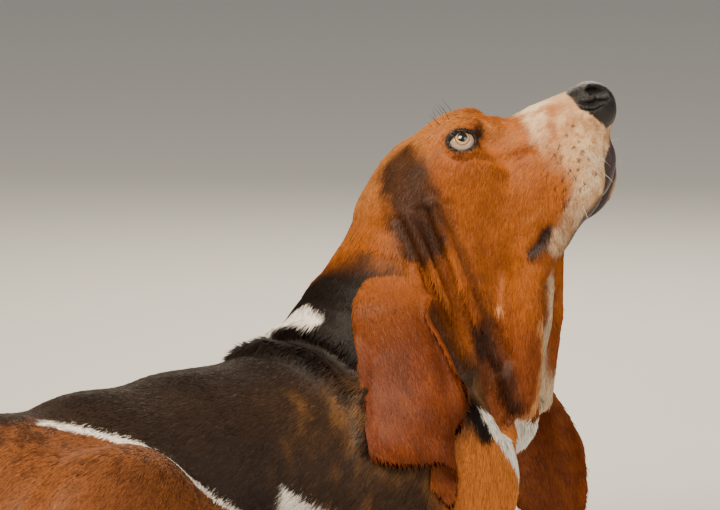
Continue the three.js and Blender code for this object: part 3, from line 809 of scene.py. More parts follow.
# Deeper brown for the ear's streaks, partly painted shade of its wrinkles
EAR_WRINKLE_PAINTED_SHADE = linear(52, 22, 9)
WHISKER_WHITE = linear(225, 210, 190)
BROW_BLACK = linear(40, 28, 20)


def fade(low, high, v):
    """0 at low, 1 at high, smoothly between; low may be the greater."""
    t = np.clip((v - low) / (high - low), 0, 1)
    return t * t * (3 - 2 * t)


def mix(colour, other, amount):
    return colour * (1 - amount[:, None]) + np.asarray(other) * amount[:, None]


def to_head(points):
    return (points - HEAD_AT) @ HEAD


def run_distance(points, line):
    return distance(run([[*p, 0] for p in line]), *points.T)


def nose_leather(h):
    """1 on the nose's bare leather, 0 off it; h is in the head's frame."""
    behind = 135 + 0.5 * np.maximum(0, -6 - h[:, 2]) + 0.010 * h[:, 1] ** 2
    return fade(-0.6, 0.6, np.minimum(h[:, 0] - behind, h[:, 2] + 32))


def lip_skin(h):
    """1 on the dark bare skin below the edge of the upper lip."""
    edge_x = [30, 52, 70, 94, 114, 132, 145, 152]
    edge_z = [-112, -103, -95, -82, -71, -56, -44, -34]
    below = np.interp(h[:, 0], edge_x, edge_z) - h[:, 2]
    band = fade(-0.8, 1.2, below) * fade(24, 19, below)
    widest = np.interp(h[:, 0], [80, 112, 130], [36, 30, 22])
    return band * fade(58, 72, h[:, 0]) * fade(4, 0, np.abs(h[:, 1]) - widest)


def whisker_root(row, place):
    """Where a dark dot lies on the muzzle, along x and z of the head's frame."""
    x = 128 - 9 * place - 1.5 * row + 2 * math.sin(5 * row + 3 * place)
    z = -16 - 10 * row - 3 * place + 2 * math.cos(4 * row + 7 * place)
    return x, z


WHISKER_ROOTS = [whisker_root(row, place) for row in range(5) for place in range(5)]


def above_haunch(points):
    """Height over the edge between the saddle and the haunch."""
    edge_x = [-330, -204, -166, -130, -103, -60, -20, 60]
    edge_z = [236, 231, 222, 205, 178, 148, 120, 96]
    return points[:, 2] - np.interp(points[:, 0], edge_x, edge_z)


class Places:
    """Places on the skin, with what their colours are drawn by."""

    def __init__(self, points):
        self.points = points
        self.x, self.y, self.z = points.T
        self.wide = rough(points, 34)
        self.mid = rough(points + 11, 15)
        self.fine = rough(points + 23, 6)
        self.head = to_head(points)
        self.hx, self.hy, self.hz = self.head.T
        self.side = np.abs(self.hy)

    def from_line(self, line):
        """Distance from a line in the dog's frame."""
        return run_distance(self.points, line)

    def from_side_line(self, line):
        """Distance from a line of (x, z) in the head's frame, seen from the side."""
        return run_distance(self.head * [1, 0, 1], [(x, 0, z) for x, z in line])


def saddle(at):
    """Black, lightened by painted sheen of light from above, with gold streaks where it thins, and tan
    shoulders.
    """
    x, y, z, mid = at.x, at.y, at.z, at.mid
    colour = BLACK_WITH_PAINTED_SHEEN * (1 + 0.25 * mid)[:, None]
    streak = fade(0.15, 0.9, rough(at.points * [1, 1, 0.35] + 5, 13) + 0.3)
    golden = fade(-30, 40, x) * (1 - fade(215, 245, z)) * fade(20, 60, np.abs(y + 30))
    colour = mix(colour, GOLD_BROWN, golden * (0.08 + 0.55 * streak))
    shoulder = fade(120, 160, x + 12 * mid) * (1 - fade(170, 205, z + 10 * mid))
    return mix(colour, BRIGHT_TAN, shoulder)


def with_haunch(colour, at):
    """Tan ticked with black, edged by a white line."""
    x = at.x
    over = above_haunch(at.points) - 3 * at.mid
    outward = np.abs(at.y) + 90 * fade(-120, -190, x)
    haunch = fade(4, -4, over) * fade(60, 90, outward) * (x < 20)
    ticks = fade(0.25, 0.6, at.fine + 0.4 * fade(-40, 0, over))
    patch = mix(HAUNCH, BLACK, 0.55 * ticks)
    patch = mix(patch, TAN, 0.35 * fade(0, -90, over))
    colour = mix(colour, patch, haunch)
    half_width = np.interp(x, [-206, -186, -146, -60, -40, -30], [0, 1.6, 3.0, 2.2, 1.2, 0])
    line = fade(half_width + 1.2, half_width - 0.8, np.abs(over + 1)) * (half_width > 0)
    return mix(colour, WHITE, line)


def tail_markings(at):
    """Black above, then tan, with a white tip."""
    colour = mix(BLACK, TAN, fade(-20, -60, at.y + 8 * at.mid))
    return mix(colour, WHITE, fade(-112, -134, at.y + 6 * at.mid))


def with_white_below(colour, at):
    """White on the belly, the ribs and the lower legs, which are faintly ticked."""
    x, z, mid, wide = at.x, at.z, at.mid, at.wide
    low_edge = 62 + 30 * np.exp(-((x - 10) / 60) ** 2) + 40 * np.exp(-((x + 4) / 22) ** 2)
    belly = fade(8, -8, z - low_edge - 9 * wide) * (x > -90) * (x < 150)
    colour = mix(colour, WHITE, belly)
    peak = z - 160 + 1.1 * np.abs(x + 6 - 0.5 * (160 - z))
    on_ribs = (np.abs(at.y) > 60) * (x > -60) * (x < 60)
    colour = mix(colour, WHITE, fade(5, -5, peak - 5 * mid) * on_ribs)
    leg_low = fade(8, -8, z - 74 - 12 * wide) * ((x > 110) | (x < -20))
    colour = mix(colour, WHITE, leg_low)
    on_tail = (x < -303) & (z < 0.9 * (x + 330) + 100)
    colour = np.where(on_tail[:, None], tail_markings(at), colour)
    freckles = fade(0.55, 0.75, rough(at.points + 91, 5)) * leg_low
    return mix(colour, PALE_TAN, 0.5 * freckles)


BREAST_STRIPE = [[186, -150, 222], [200, -160, 190], [222, -158, 160], [250, -140, 120], [262, -128, 60]]
BEHIND_STRIPE = [[184, -154, 206], [188, -162, 188]]


def with_breast(colour, at):
    """White in front, with a white stripe on the right and black behind it."""
    colour = mix(colour, BLACK, fade(16, 9, at.from_line(BEHIND_STRIPE) + 3 * at.mid))
    colour = mix(colour, WHITE, fade(9, 6, at.from_line(BREAST_STRIPE) + 2 * at.mid))
    forward = at.x + 0.25 * (200 - at.z) + 6 * at.mid
    front = fade(255, 275, forward) * (1 - fade(190, 215, at.z))
    return mix(colour, WHITE, front)


def with_neck(colour, at):
    """Black above and tan at the sides, with a white patch on the nape."""
    neck = fade(228, 250, at.z + 8 * at.mid)
    up_neck = (at.x - 150) * 0.9 + (at.z - 250) * 0.45
    neck_colour = mix(TAN, BLACK, fade(30, -6, up_neck - 24 + 8 * at.mid))
    brown = fade(0.0, 0.8, rough(at.points * [1, 1, 0.4] + 8, 16)) * fade(70, 20, up_neck)
    neck_colour = mix(neck_colour, BLACK, 0.5 * brown)
    colour = mix(colour, neck_colour, neck)
    collar = distance(COLLAR, at.x, at.y, at.z) + 0.1 * np.maximum(0, -at.y)
    return mix(colour, WHITE, fade(15, 10, collar + 3 * at.mid))


def head_share(at):
    """1 on the head and the dewlap, 0 behind them."""
    past_skull = 0.8 * (at.hx + 62) + 0.6 * (at.hz - 8) + 5 * at.mid + 26 * fade(20, 60, at.hx)
    dewlap_from = np.interp(at.z, [170, 240, 300, 340], [216, 207, 186, 150]) + 3 * at.mid
    dewlap = fade(-5, 5, at.x - dewlap_from) * fade(174, 182, at.z + 3 * at.mid)
    return np.maximum(fade(-6, 6, past_skull), dewlap)


TEMPLE = [(-15, 30), (-22, 2), (-31, -24)]


def tan_face(at):
    """Tan in deeper and paler patches, paler on top as a painted highlight, with a dark streaky patch at the
    temple.
    """
    h, hx = at.head, at.hx
    face = TAN * (1 + 0.18 * at.wide + 0.2 * at.fine)[:, None]
    face = mix(face, DEEP_TAN, 0.6 * fade(0.0, 0.7, rough(h * [0.6, 1, 1] + 17, 9)))
    pale = fade(0.1, 0.8, rough(h * [0.6, 1, 1] + 57, 20)) * fade(10, 60, hx)
    face = mix(face, PALE_TAN, 0.3 * pale)
    face = mix(face, DEEP_TAN, 0.4 * fade(30, -40, hx) * fade(-0.3, 0.6, at.wide))
    face = mix(face, DEEP_TAN, 0.7 * fade(310, 240, at.z) * fade(40, 20, hx))
    # Paler on top of the head: painted highlight of light from above
    face = mix(face, PALE_TAN, 0.3 * fade(14, 44, at.hz - 0.2 * hx) * fade(80, 40, hx))
    temple = at.from_side_line(TEMPLE)
    streaky = rough(h * [1, 1, 0.35] + 71, 8)
    face = mix(face, BLACK, 0.86 * fade(31, 15, temple + 8 * streaky) * fade(8, 26, at.side))
    strands = fade(0.1, 0.7, rough(h * [1, 1, 0.4], 12)) * fade(45, 20, temple)
    return mix(face, BLACK, 0.45 * strands)


BLAZE_EDGE = [(106, 30), (104, 8), (100, -16), (104, -34)]
LIP_EDGE = [(130, -49), (108, -65), (84, -82), (68, -90)]


def with_muzzle(face, at):
    """A white blaze, a cream muzzle with dark dots and speckles, and pale hair along the lip, greyed as
    painted shade.
    """
    hx, hz, side, mid = at.hx, at.hz, at.side, at.mid
    narrow = fade(15, 5, side - 0.12 * (hx - 90) + 3 * mid)
    blaze = fade(80, 104, hx + 6 * mid) * narrow * fade(-6, 6, hz)
    face = mix(face, WARM_WHITE, 0.75 * blaze * fade(140, 112, hx))
    face = mix(face, CREAM, 0.6 * blaze * fade(112, 140, hx))
    hairy = fade(-0.25, 0.35, rough(at.head * [1, 1, 0.6] + 61, 4.5))
    fleck = fade(15, 4, at.from_side_line(BLAZE_EDGE) + 5 * mid)
    fleck = fleck * (0.25 + 0.75 * fade(-20, 24, hz))
    face = mix(face, WARM_WHITE, fleck * (0.3 + 0.5 * hairy))
    muzzle = fade(98, 122, hx - 0.25 * (hz + 40) + 9 * mid) * fade(12, 0, hz)
    face = mix(face, CREAM, muzzle * (0.35 + 0.4 * hairy))
    lip_edge = at.from_side_line(LIP_EDGE)
    face = mix(face, PALE_HAIR_IN_PAINTED_SHADE, 0.75 * fade(15, 5, lip_edge + 5 * mid) * (0.5 + 0.5 * hairy))
    dots = np.min([np.hypot(hx - x, hz - z) for x, z in WHISKER_ROOTS], 0)
    face = mix(face, WHISKER_DOT, 0.85 * fade(1.9, 1.0, dots) * (side > 12))
    speckled = np.maximum(muzzle, fade(18, 8, lip_edge))
    speckled = fade(0.35, 0.6, rough(at.head + 40, 4.5)) * speckled
    return mix(face, SPECKLE, 0.6 * speckled)


def with_eye_rims(face, at):
    """Black skin round each eye and dark hair at its inner corner, and how far out from an eye each is."""
    nearest = np.full(len(at.points), FAR)
    for side in (-1, 1):
        out, across, up = lid_axes(side)
        from_eye = at.points - eye_centre(side)
        a, b, c = from_eye @ across, from_eye @ up, from_eye @ out
        ring = np.sqrt((a / 12.6) ** 2 + ((b - 1.4) / 9.2) ** 2)
        face = mix(face, LID_SKIN, fade(1.32, 1.12, ring + 0.05 * at.fine) * (c > 0))
        from_corner = np.sqrt((a - 17) ** 2 + ((b - 4) * 0.8) ** 2)
        face = mix(face, EYE_CORNER, 0.9 * fade(11, 5, from_corner + 2 * at.mid) * (c > -4))
        nearest = np.minimum(nearest, np.where(c > 0, ring, FAR))
    return face, nearest


MOUTH_CORNER = [(63, -77), (53, -83), (42, -86)]
CHEEK_SPOT = (-6, -110)


def with_mouth(face, at, lip):
    """A pale chin greyed as painted shade, dark lips and corners of the mouth, and a pale spot on the right
    cheek.
    """
    hx, hz = at.hx, at.hz
    chin = fade(60, 74, hx) * fade(-88, -104, hz + 0.6 * (hx - 100))
    face = mix(face, PALE_HAIR_IN_PAINTED_SHADE, 0.8 * chin * fade(30, 22, at.side))
    face = mix(face, LIP, lip)
    corner = at.from_side_line(MOUTH_CORNER)
    face = mix(face, BLACK, 0.95 * fade(8, 3, corner + 4 * at.mid) * (at.side > 20))
    from_spot = np.hypot(hx - CHEEK_SPOT[0], hz - CHEEK_SPOT[1])
    return mix(face, PALE_TAN, 0.8 * fade(4.5, 2.5, from_spot) * (at.hy < 0))


UNDER_CHEEK_FOLD = [[207, -140, 262], [212, -152, 232], [216, -160, 204]]
DEWLAP_RIM = [[222, -158, 186], [244, -162, 190], [254, -166, 206], [257, -168, 240], [250, -170, 270]]


def with_dewlap(face, at):
    """Dark under the cheek fold, a pale rim, and the throat between its lobes pale, greyed as painted shade.
    """
    x, z, mid = at.x, at.z, at.mid
    face = mix(face, BLACK, 0.85 * fade(26, 8, at.from_line(UNDER_CHEEK_FOLD) + 6 * mid))
    face = mix(face, PALE_TAN, 0.85 * fade(8, 3, at.from_line(DEWLAP_RIM) + 2 * mid))
    throat = fade(258, 264, x + 2 * mid) * fade(330, 312, z) * fade(16, 0, at.hx - 40)
    throat_end = fade(8, -4, x - 284 + 0.22 * (z - 230))
    throat = throat * np.maximum(throat_end, fade(230, 205, z)) * fade(40, -20, at.y + 60)
    return mix(face, PALE_HAIR_IN_PAINTED_SHADE, 0.8 * throat)


def depth_in(lines, points):
    """Distance from the nearest of some lines, less its radius."""
    return np.min([distance(line, *points.T) for line in lines], 0)


def markings_and_painted_light(points):
    """Colour of the coat at each place on the body, with its painted light and shade, and how much of it is
    bare skin.
    """
    at = Places(points)
    colour = with_haunch(saddle(at), at)
    colour = with_neck(with_breast(with_white_below(colour, at), at), at)

    lip = lip_skin(at.head)
    face, from_eyes = with_eye_rims(with_muzzle(tan_face(at), at), at)
    face = with_dewlap(with_mouth(face, at, lip), at)
    # Painted shade: black along the creases
    face = mix(face, BLACK, 0.6 * fade(3.5, -1.5, depth_in(SHADE_PAINTED_CREASE_LINES, points)))
    is_head = head_share(at)
    colour = mix(colour, face, is_head)

    leather = nose_leather(at.head)
    colour = mix(colour, LEATHER, leather)
    # Painted shade: darker still inside the nostrils
    nostril = depth_in([line for line, _ in NOSTRILS[:4]], points)
    colour = mix(colour, NOSTRIL_PAINTED_SHADE, leather * fade(4.0, 1.2, nostril))
    bare = np.maximum.reduce([leather, lip * is_head, fade(1.28, 1.16, from_eyes)])
    return np.clip(colour, 0, 1), bare


def ear_markings_and_painted_light(points, along, is_outer):
    """Mahogany with long streaks of tan and deeper brown, partly the hair's own and partly painted light and
    shade of the ear's wrinkles, tan at the root and lighter inside.
    """
    fine = rough(points + 3, 6)
    wide = rough(points + 13, 26)
    streak = rough(points * [1, 1, 0.3] + 29, 7)
    colour = MAHOGANY * (1 + 0.25 * wide + 0.15 * fine)[:, None]
    # Lighter and darker streaks: partly the hair's own, partly painted highlight and painted shade of the
    # ear's long wrinkles
    colour = mix(colour, TAN, 0.3 * fade(0.0, 0.9, streak))
    colour = mix(colour, EAR_WRINKLE_PAINTED_SHADE, 0.45 * fade(0.0, 0.8, -streak))
    colour = mix(colour, TAN, 0.8 * fade(0.34, 0.04, along + 0.06 * wide))
    colour = mix(colour, DEEP_TAN, 0.8 * (1 - is_outer))
    colour = mix(colour, TAN, 0.5 * (1 - is_outer) * fade(0.2, 0.9, fine + 0.5))
    return np.clip(colour, 0, 1)


# Build the skin


def normals_of(points, quads):
    a, b, c, d = (points[quads[:, i]] for i in range(4))
    face = np.cross(c - a, d - b)
    total = np.zeros_like(points)
    for i in range(4):
        np.add.at(total, quads[:, i], face)
    return unit(total)


value = dog_field(LATTICE)
body_points, body_quads = net_of(value, LATTICE.axes)
del value
body_points = settled(body_points, FINE)
body_points[:, 2] = np.maximum(body_points[:, 2], FLOOR_GAP)
body_normals = normals_of(body_points, body_quads)
body_lie = lie_at(body_points, body_normals)
body_colour, body_bare = markings_and_painted_light(body_points)

# Each part: points, quads, normals, lie of the hair, colours, how bare, and name
parts = [(body_points, body_quads, body_normals, body_lie, body_colour, body_bare, "body")]
for name, shape in EARS.items():
    points, quads, lie, along, is_outer = ear_mesh(shape)
    normals = normals_of(points, quads)
    colour = ear_markings_and_painted_light(points, along, is_outer)
    parts.append((points, quads, normals, lie, colour, np.zeros(len(points)), "ear_" + name))

# The row's frame: the right eye's node tells where the dog's own frame lies in it
low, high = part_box("eye_right")
SHIFT = np.array((low + high) / 2) / MM - eye_centre(-1)


def to_row(points):
    return (np.asarray(points) + SHIFT) * MM


def mesh_from(name, points, faces, normals=None):
    """A mesh object from arrays, in the row's frame; faces are all triangles or all quads."""
    mesh = bpy.data.meshes.new(name)
    sides = faces.shape[1]
    mesh.vertices.add(len(points))
    mesh.vertices.foreach_set("co", to_row(points).astype(np.float32).ravel())
    mesh.loops.add(faces.size)
    mesh.loops.foreach_set("vertex_index", faces.astype(np.int32).ravel())
    mesh.polygons.add(len(faces))
    mesh.polygons.foreach_set("loop_start", np.arange(0, faces.size, sides, dtype=np.int32))
    mesh.update(calc_edges=True)
    mesh.polygons.foreach_set("use_smooth", np.ones(len(faces), bool))
    if normals is not None:
        mesh.normals_split_custom_set_from_vertices(normals.astype(np.float32))
    obj = bpy.data.objects.new(name, mesh)
    bpy.context.scene.collection.objects.link(obj)
    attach(obj, "root")
    return obj


def paint(obj, colours):
    """The piece's colour at each of its points, painted light and shade included."""
    attribute = obj.data.color_attributes.new("Marking_and_painted_light", "FLOAT_COLOR", "POINT")
    rgba = np.concatenate([colours, np.ones((len(colours), 1))], 1).astype(np.float32)
    attribute.data.foreach_set("color", rgba.ravel())


# Materials


def new_material(name, roughness, **sockets):
    material = bpy.data.materials.new(name)
    material.use_nodes = True
    shader = material.node_tree.nodes["Principled BSDF"]
    shader.inputs["Roughness"].default_value = roughness
    for socket, amount in sockets.items():
        shader.inputs[socket.replace("_", " ")].default_value = amount
    return material, material.node_tree.nodes, material.node_tree.links, shader


def attribute_node(nodes, name):
    """Reads a layer of the mesh."""
    node = nodes.new("ShaderNodeAttribute")
    node.attribute_name = name
    return node


def texture(nodes, links, kind, scale):
    """A procedural texture in the piece's own space."""
    place = nodes.new("ShaderNodeTexCoord")
    node = nodes.new(kind)
    node.inputs["Scale"].default_value = scale
    links.new(place.outputs["Object"], node.inputs["Vector"])
    return node


def skin_material():
    """Short flat hair over skin, with the nose's leather pebbled and wet."""
    material, nodes, links, shader = new_material("skin_and_short_hair", 0.6, Specular_IOR_Level=0.35)
    colour = attribute_node(nodes, "Marking_and_painted_light")
    bare = attribute_node(nodes, "Bare")
    links.new(colour.outputs["Color"], shader.inputs["Base Color"])
    rough_map = nodes.new("ShaderNodeMapRange")
    links.new(bare.outputs["Fac"], rough_map.inputs["Value"])
    rough_map.inputs["To Min"].default_value = 0.62
    rough_map.inputs["To Max"].default_value = 0.36
    links.new(rough_map.outputs["Result"], shader.inputs["Roughness"])
    pebbles = texture(nodes, links, "ShaderNodeTexVoronoi", 900)
    hairs = texture(nodes, links, "ShaderNodeTexNoise", 700)
    hairs.inputs["Detail"].default_value = 4
    height = nodes.new("ShaderNodeMix")
    links.new(bare.outputs["Fac"], height.inputs["Factor"])
    links.new(hairs.outputs["Fac"], height.inputs["A"])
    links.new(pebbles.outputs["Distance"], height.inputs["B"])
    bump = nodes.new("ShaderNodeBump")
    bump.inputs["Strength"].default_value = 0.7
    bump.inputs["Distance"].default_value = 0.0006
    links.new(height.outputs["Result"], bump.inputs["Height"])
    links.new(bump.outputs["Normal"], shader.inputs["Normal"])
    return material


def coat_material():
    material, nodes, links, shader = new_material("coat_hair", 0.5, Specular_IOR_Level=0.13)
    links.new(attribute_node(nodes, "Marking_and_painted_light").outputs["Color"], shader.inputs["Base Color"])
    return material


# The eyeball's colours, from its back and white to the iris's dark rim, the iris and the pupil
EYE_STOPS = [
    (0.0, (0.34, 0.22, 0.17)),
    (0.60, (0.40, 0.28, 0.22)),
    (0.795, (0.36, 0.24, 0.18)),
    (0.82, (0.03, 0.02, 0.015)),
    (0.85, (0.30, 0.15, 0.04)),
    (0.91, (0.66, 0.37, 0.11)),
    (0.965, (0.50, 0.26, 0.08)),
    (0.975, (0.004, 0.004, 0.004)),
]


def eye_material():
    """Amber iris round a small pupil, dark at its rim, in a pale eyeball, round the gaze, local +Z."""
    material, nodes, links, shader = new_material("eyeball", 0.12, Coat_Weight=1.0, Coat_Roughness=0.02)
    place = nodes.new("ShaderNodeTexCoord")
    split = nodes.new("ShaderNodeSeparateXYZ")
    links.new(place.outputs["Object"], split.inputs["Vector"])
    angle = nodes.new("ShaderNodeMath")
    angle.operation = "DIVIDE"
    links.new(split.outputs["Z"], angle.inputs[0])
    angle.inputs[1].default_value = EYE_RADIUS * MM
    rays = texture(nodes, links, "ShaderNodeTexNoise", 500)
    jitter = nodes.new("ShaderNodeMath")
    jitter.operation = "MULTIPLY_ADD"
    links.new(rays.outputs["Fac"], jitter.inputs[0])
    jitter.inputs[1].default_value = 0.02
    links.new(angle.outputs["Value"], jitter.inputs[2])
    ramp = nodes.new("ShaderNodeValToRGB")
    while len(ramp.color_ramp.elements) < len(EYE_STOPS):
        ramp.color_ramp.elements.new(0.5)
    for element, (position, rgb) in zip(ramp.color_ramp.elements, EYE_STOPS):
        element.position = position
        element.color = (*rgb, 1)
    links.new(jitter.outputs["Value"], ramp.inputs["Fac"])
    links.new(ramp.outputs["Color"], shader.inputs["Base Color"])
    return material


def claw_material():
    material, nodes, links, shader = new_material("claw_horn", 0.35)
    grain = texture(nodes, links, "ShaderNodeTexNoise", 260)
    ramp = nodes.new("ShaderNodeValToRGB")
    ramp.color_ramp.elements[0].color = (0.02, 0.016, 0.014, 1)
    ramp.color_ramp.elements[1].color = (0.12, 0.09, 0.07, 1)
    links.new(grain.outputs["Fac"], ramp.inputs["Fac"])
    links.new(ramp.outputs["Color"], shader.inputs["Base Color"])
    return material


SKIN = skin_material()
COAT = coat_material()
EYE = eye_material()
CLAW = claw_material()

# The skin, one piece



def joined(i):
    """One kind of value over all the parts."""
    return np.concatenate([part[i] for part in parts])


offsets = np.cumsum([0] + [len(part[0]) for part in parts])
all_quads = np.concatenate([part[1] + offset for part, offset in zip(parts, offsets)])
skin = mesh_from("skin", joined(0), all_quads)
paint(skin, joined(4))
bare_attribute = skin.data.attributes.new("Bare", "FLOAT", "POINT")
bare_attribute.data.foreach_set("value", joined(5).astype(np.float32))
skin.data.materials.append(SKIN)
FLESH = ["head", "neck", "trunk", "tail", "ear_left", "ear_right",
         "foreleg_left", "foreleg_right", "hindleg_left", "hindleg_right"]
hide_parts(*FLESH)

# The coat: tufts lie along the body, each a closed sliver with a root, a raised middle and a tip

HAIR = {
    "body": {"length": 10.5, "width": 1.6, "lift": 0.75, "per_mm2": 0.36},
    "head": {"length": 6.0, "width": 1.1, "lift": 0.5, "per_mm2": 0.62},
    "ear": {"length": 7.0, "width": 1.2, "lift": 0.5, "per_mm2": 0.50},
    "feet": {"length": 7.0, "width": 1.3, "lift": 0.6, "per_mm2": 0.40},
}
THIN = 1.0


def scatter(points, triangles, per_mm2):
    """Roots spread evenly over triangles: which triangle, and the weights of its corners."""
    a, b, c = (points[triangles[:, i]] for i in range(3))
    area = np.linalg.norm(np.cross(b - a, c - a), axis=1) / 2
    wanted = area * per_mm2
    ends = np.cumsum(wanted)
    count = int(ends[-1])
    places = (np.arange(count) + rng.random(count)) * (ends[-1] / count)
    chosen = np.searchsorted(ends, places).clip(0, len(triangles) - 1)
    u, v = rng.random((2, count))
    fold = u + v > 1
    u[fold], v[fold] = 1 - u[fold], 1 - v[fold]
    return chosen, np.stack([1 - u - v, u, v], 1)


def at_roots(values, triangles, chosen, weights):
    return sum(values[triangles[chosen, i]] * weights[:, i:i + 1] for i in range(3))


def unwrap(points, normals):
    """Place of each root on a layout of the piece's own shape: six sides, laid out side by side."""
    side = np.abs(normals).argmax(1)
    positive = np.take_along_axis(normals, side[:, None], 1)[:, 0] > 0
    cell = side * 2 + positive
    low, high = points.min(0), points.max(0)
    span = (high - low).max()
    p = (points - low) / span
    u = np.where(side == 0, p[:, 1], p[:, 0])
    v = np.where(side == 2, p[:, 1], p[:, 2])
    return np.stack([(cell % 3 + 0.02 + 0.96 * u) / 3, (cell // 3 + 0.02 + 0.96 * v) / 2], 1)


# How much tufts differ from each other
SWAY_SPREAD = 0.16
LENGTH_SPREAD = 0.18
RISE_SPREAD = 0.25
TONE_SPREAD = 0.2
# The shape of a tuft: its root's depth in the skin, where its ridge is, and how high its tip ends
ROOT_DEPTH = 0.5
RIDGE_AT = 0.4
TIP_RISE = 0.9
TUFT_FLOOR_GAP = 0.15
# How its sides turn the light, and how far its root is darkened as painted shade deep in the coat and its
# tip lightened as painted highlight
SIDE_TILT = 0.42
TIP_TILT = 0.15
ROOT_PAINTED_SHADE = 0.55
TIP_PAINTED_HIGHLIGHT = 1.15
# Half of a tuft's patch on the layout
PATCH_HALF = 0.0015


def tufts(name, roots, normals, lie, colours, sizes):
    """One coat piece: a closed sliver of four faces at each root."""
    n = len(roots)
    length, width, lift = (sizes[:, i:i + 1] for i in range(3))
    sway = rng.normal(0, SWAY_SPREAD, (n, 1))
    across = np.cross(normals, lie)
    lie = unit(lie + across * sway)
    across = np.cross(normals, lie)
    length = length * (1 + rng.normal(0, LENGTH_SPREAD, (n, 1)))
    rise = lift * (1 + rng.normal(0, RISE_SPREAD, (n, 1)))
    left = roots - across * width / 2 - normals * ROOT_DEPTH
    right = roots + across * width / 2 - normals * ROOT_DEPTH
    ridge = roots + lie * length * RIDGE_AT + normals * rise
    tip = roots + lie * length + normals * rise * TIP_RISE
    points = np.stack([left, right, ridge, tip], 1)
    points[..., 2] = np.maximum(points[..., 2], TUFT_FLOOR_GAP)
    order = np.array([[0, 2, 1], [0, 3, 2], [1, 2, 3], [0, 1, 3]])
    faces = (np.arange(n)[:, None, None] * 4 + order).reshape(-1, 3)
    shade = np.stack([
        unit(normals - across * SIDE_TILT),
        unit(normals + across * SIDE_TILT),
        normals,
        unit(normals + lie * TIP_TILT),
    ], 1)
    obj = mesh_from(name, points.reshape(-1, 3), faces, shade.reshape(-1, 3))
    tone = 1 + rng.normal(0, TONE_SPREAD, (n, 1))
    # Painted shade at the root and painted highlight at the tip
    shaded_root_colour = colours * ROOT_PAINTED_SHADE
    shades = np.stack([shaded_root_colour, shaded_root_colour, colours * tone, colours * tone * TIP_PAINTED_HIGHLIGHT], 1)
    paint(obj, np.clip(shades.reshape(-1, 3), 0, 1))
    uv = unwrap(roots, normals)
    patch = np.array([[-1, -1], [1, -1], [0, 0.2], [0, 1]]) * PATCH_HALF
    at_vertex = (uv[:, None, :] + patch).reshape(-1, 2)
    layer = obj.data.uv_layers.new(name="OFBake")
    layer.data.foreach_set("uv", at_vertex[faces.ravel()].astype(np.float32).ravel())
    obj.data.materials.append(COAT)
    return obj


def split_quads(quads):
    return np.concatenate([quads[:, [0, 1, 2]], quads[:, [0, 2, 3]]])


MOST_TUFTS = 49000
RESTING_BELOW = 1.5  # no tufts where the dog lies on the floor


def tuft_sizes(hair_name, roots, on_body):
    """Length, width and lift at each root: less towards the nose, and short in creases."""
    hair = HAIR[hair_name]
    sizes = np.tile([hair["length"], hair["width"], hair["lift"]], (len(roots), 1))
    if on_body:
        # hair is shorter along creases and along the haunch's white edge
        sizes[:, 0] *= 1 - 0.5 * fade(7, 0, depth_in(SHADE_PAINTED_CREASE_LINES, roots))
        sizes[:, 0] *= 1 - 0.45 * fade(14, 6, np.abs(above_haunch(roots))) * (roots[:, 0] < 0)
    if hair_name == "head":
        short = 1 - 0.45 * fade(60, 130, to_head(roots)[:, 0])
        sizes = sizes * np.stack([short, 0.5 + 0.5 * short, short], 1)
    return sizes


def grow(part, kind_of, regions):
    """Tufts over one part of the skin, in pieces by region and small enough to keep."""
    points, quads, normals, lie, colour, bare, part_name = part
    triangles = split_quads(quads)
    middle = points[triangles].mean(1)
    kind = kind_of(middle)
    for hair_name, hair in HAIR.items():
        mine = triangles[kind == hair_name]
        if not len(mine):
            continue
        chosen, weights = scatter(points, mine, hair["per_mm2"] * THIN)
        roots = at_roots(points, mine, chosen, weights)
        root_normals = unit(at_roots(normals, mine, chosen, weights))
        root_lie = at_roots(lie, mine, chosen, weights)
        root_lie = unit(root_lie - root_normals * (root_lie * root_normals).sum(1)[:, None])
        if part_name == "body":
            colours, bareness = markings_and_painted_light(roots)
        else:
            colours = at_roots(colour, mine, chosen, weights)
            bareness = np.zeros(len(roots))
        keep = (roots[:, 2] >= RESTING_BELOW) & (bareness <= 0.5)
        roots, root_normals, root_lie, colours = (
            values[keep] for values in (roots, root_normals, root_lie, colours)
        )
        sizes = tuft_sizes(hair_name, roots, part_name == "body")
        region = regions(roots)
        for r in np.unique(region):
            here = np.flatnonzero(region == r)
            for i in range(0, len(here), MOST_TUFTS):
                pick = here[i:i + MOST_TUFTS]
                letter = "abcdefgh"[i // MOST_TUFTS]
                piece = f"coat_{part_name}_{hair_name}_{int(r)}{letter}"
                tufts(piece, roots[pick], root_normals[pick], root_lie[pick], colours[pick], sizes[pick])


def body_kind(p):
    h = to_head(p)
    head = (0.8 * (h[:, 0] + 75) + 0.6 * (h[:, 2] - 8) > 0) & (p[:, 2] > 225)
    feet = (p[:, 2] < 48) & ((p[:, 0] > 270) | ((p[:, 0] < -20) & (np.abs(p[:, 1]) > 112)))
    return np.where(head, "head", np.where(feet, "feet", "body"))


def body_region(p):
    return (p[:, 0] > -100).astype(int) + (p[:, 0] > 100) + 3 * (p[:, 1] > -10)


def ear_kind(p):
    return np.full(len(p), "ear")


def ear_region(p):
    return np.zeros(len(p))


grow(parts[0], body_kind, body_region)
for part in parts[1:]:
    grow(part, ear_kind, ear_region)

# Eyes

GAZE = {-1: np.array([0.398, -0.832, 0.385]), 1: np.array([0.85, 0.34, 0.385])}
CORNEA = 0.9  # how far the clear bulge stands out


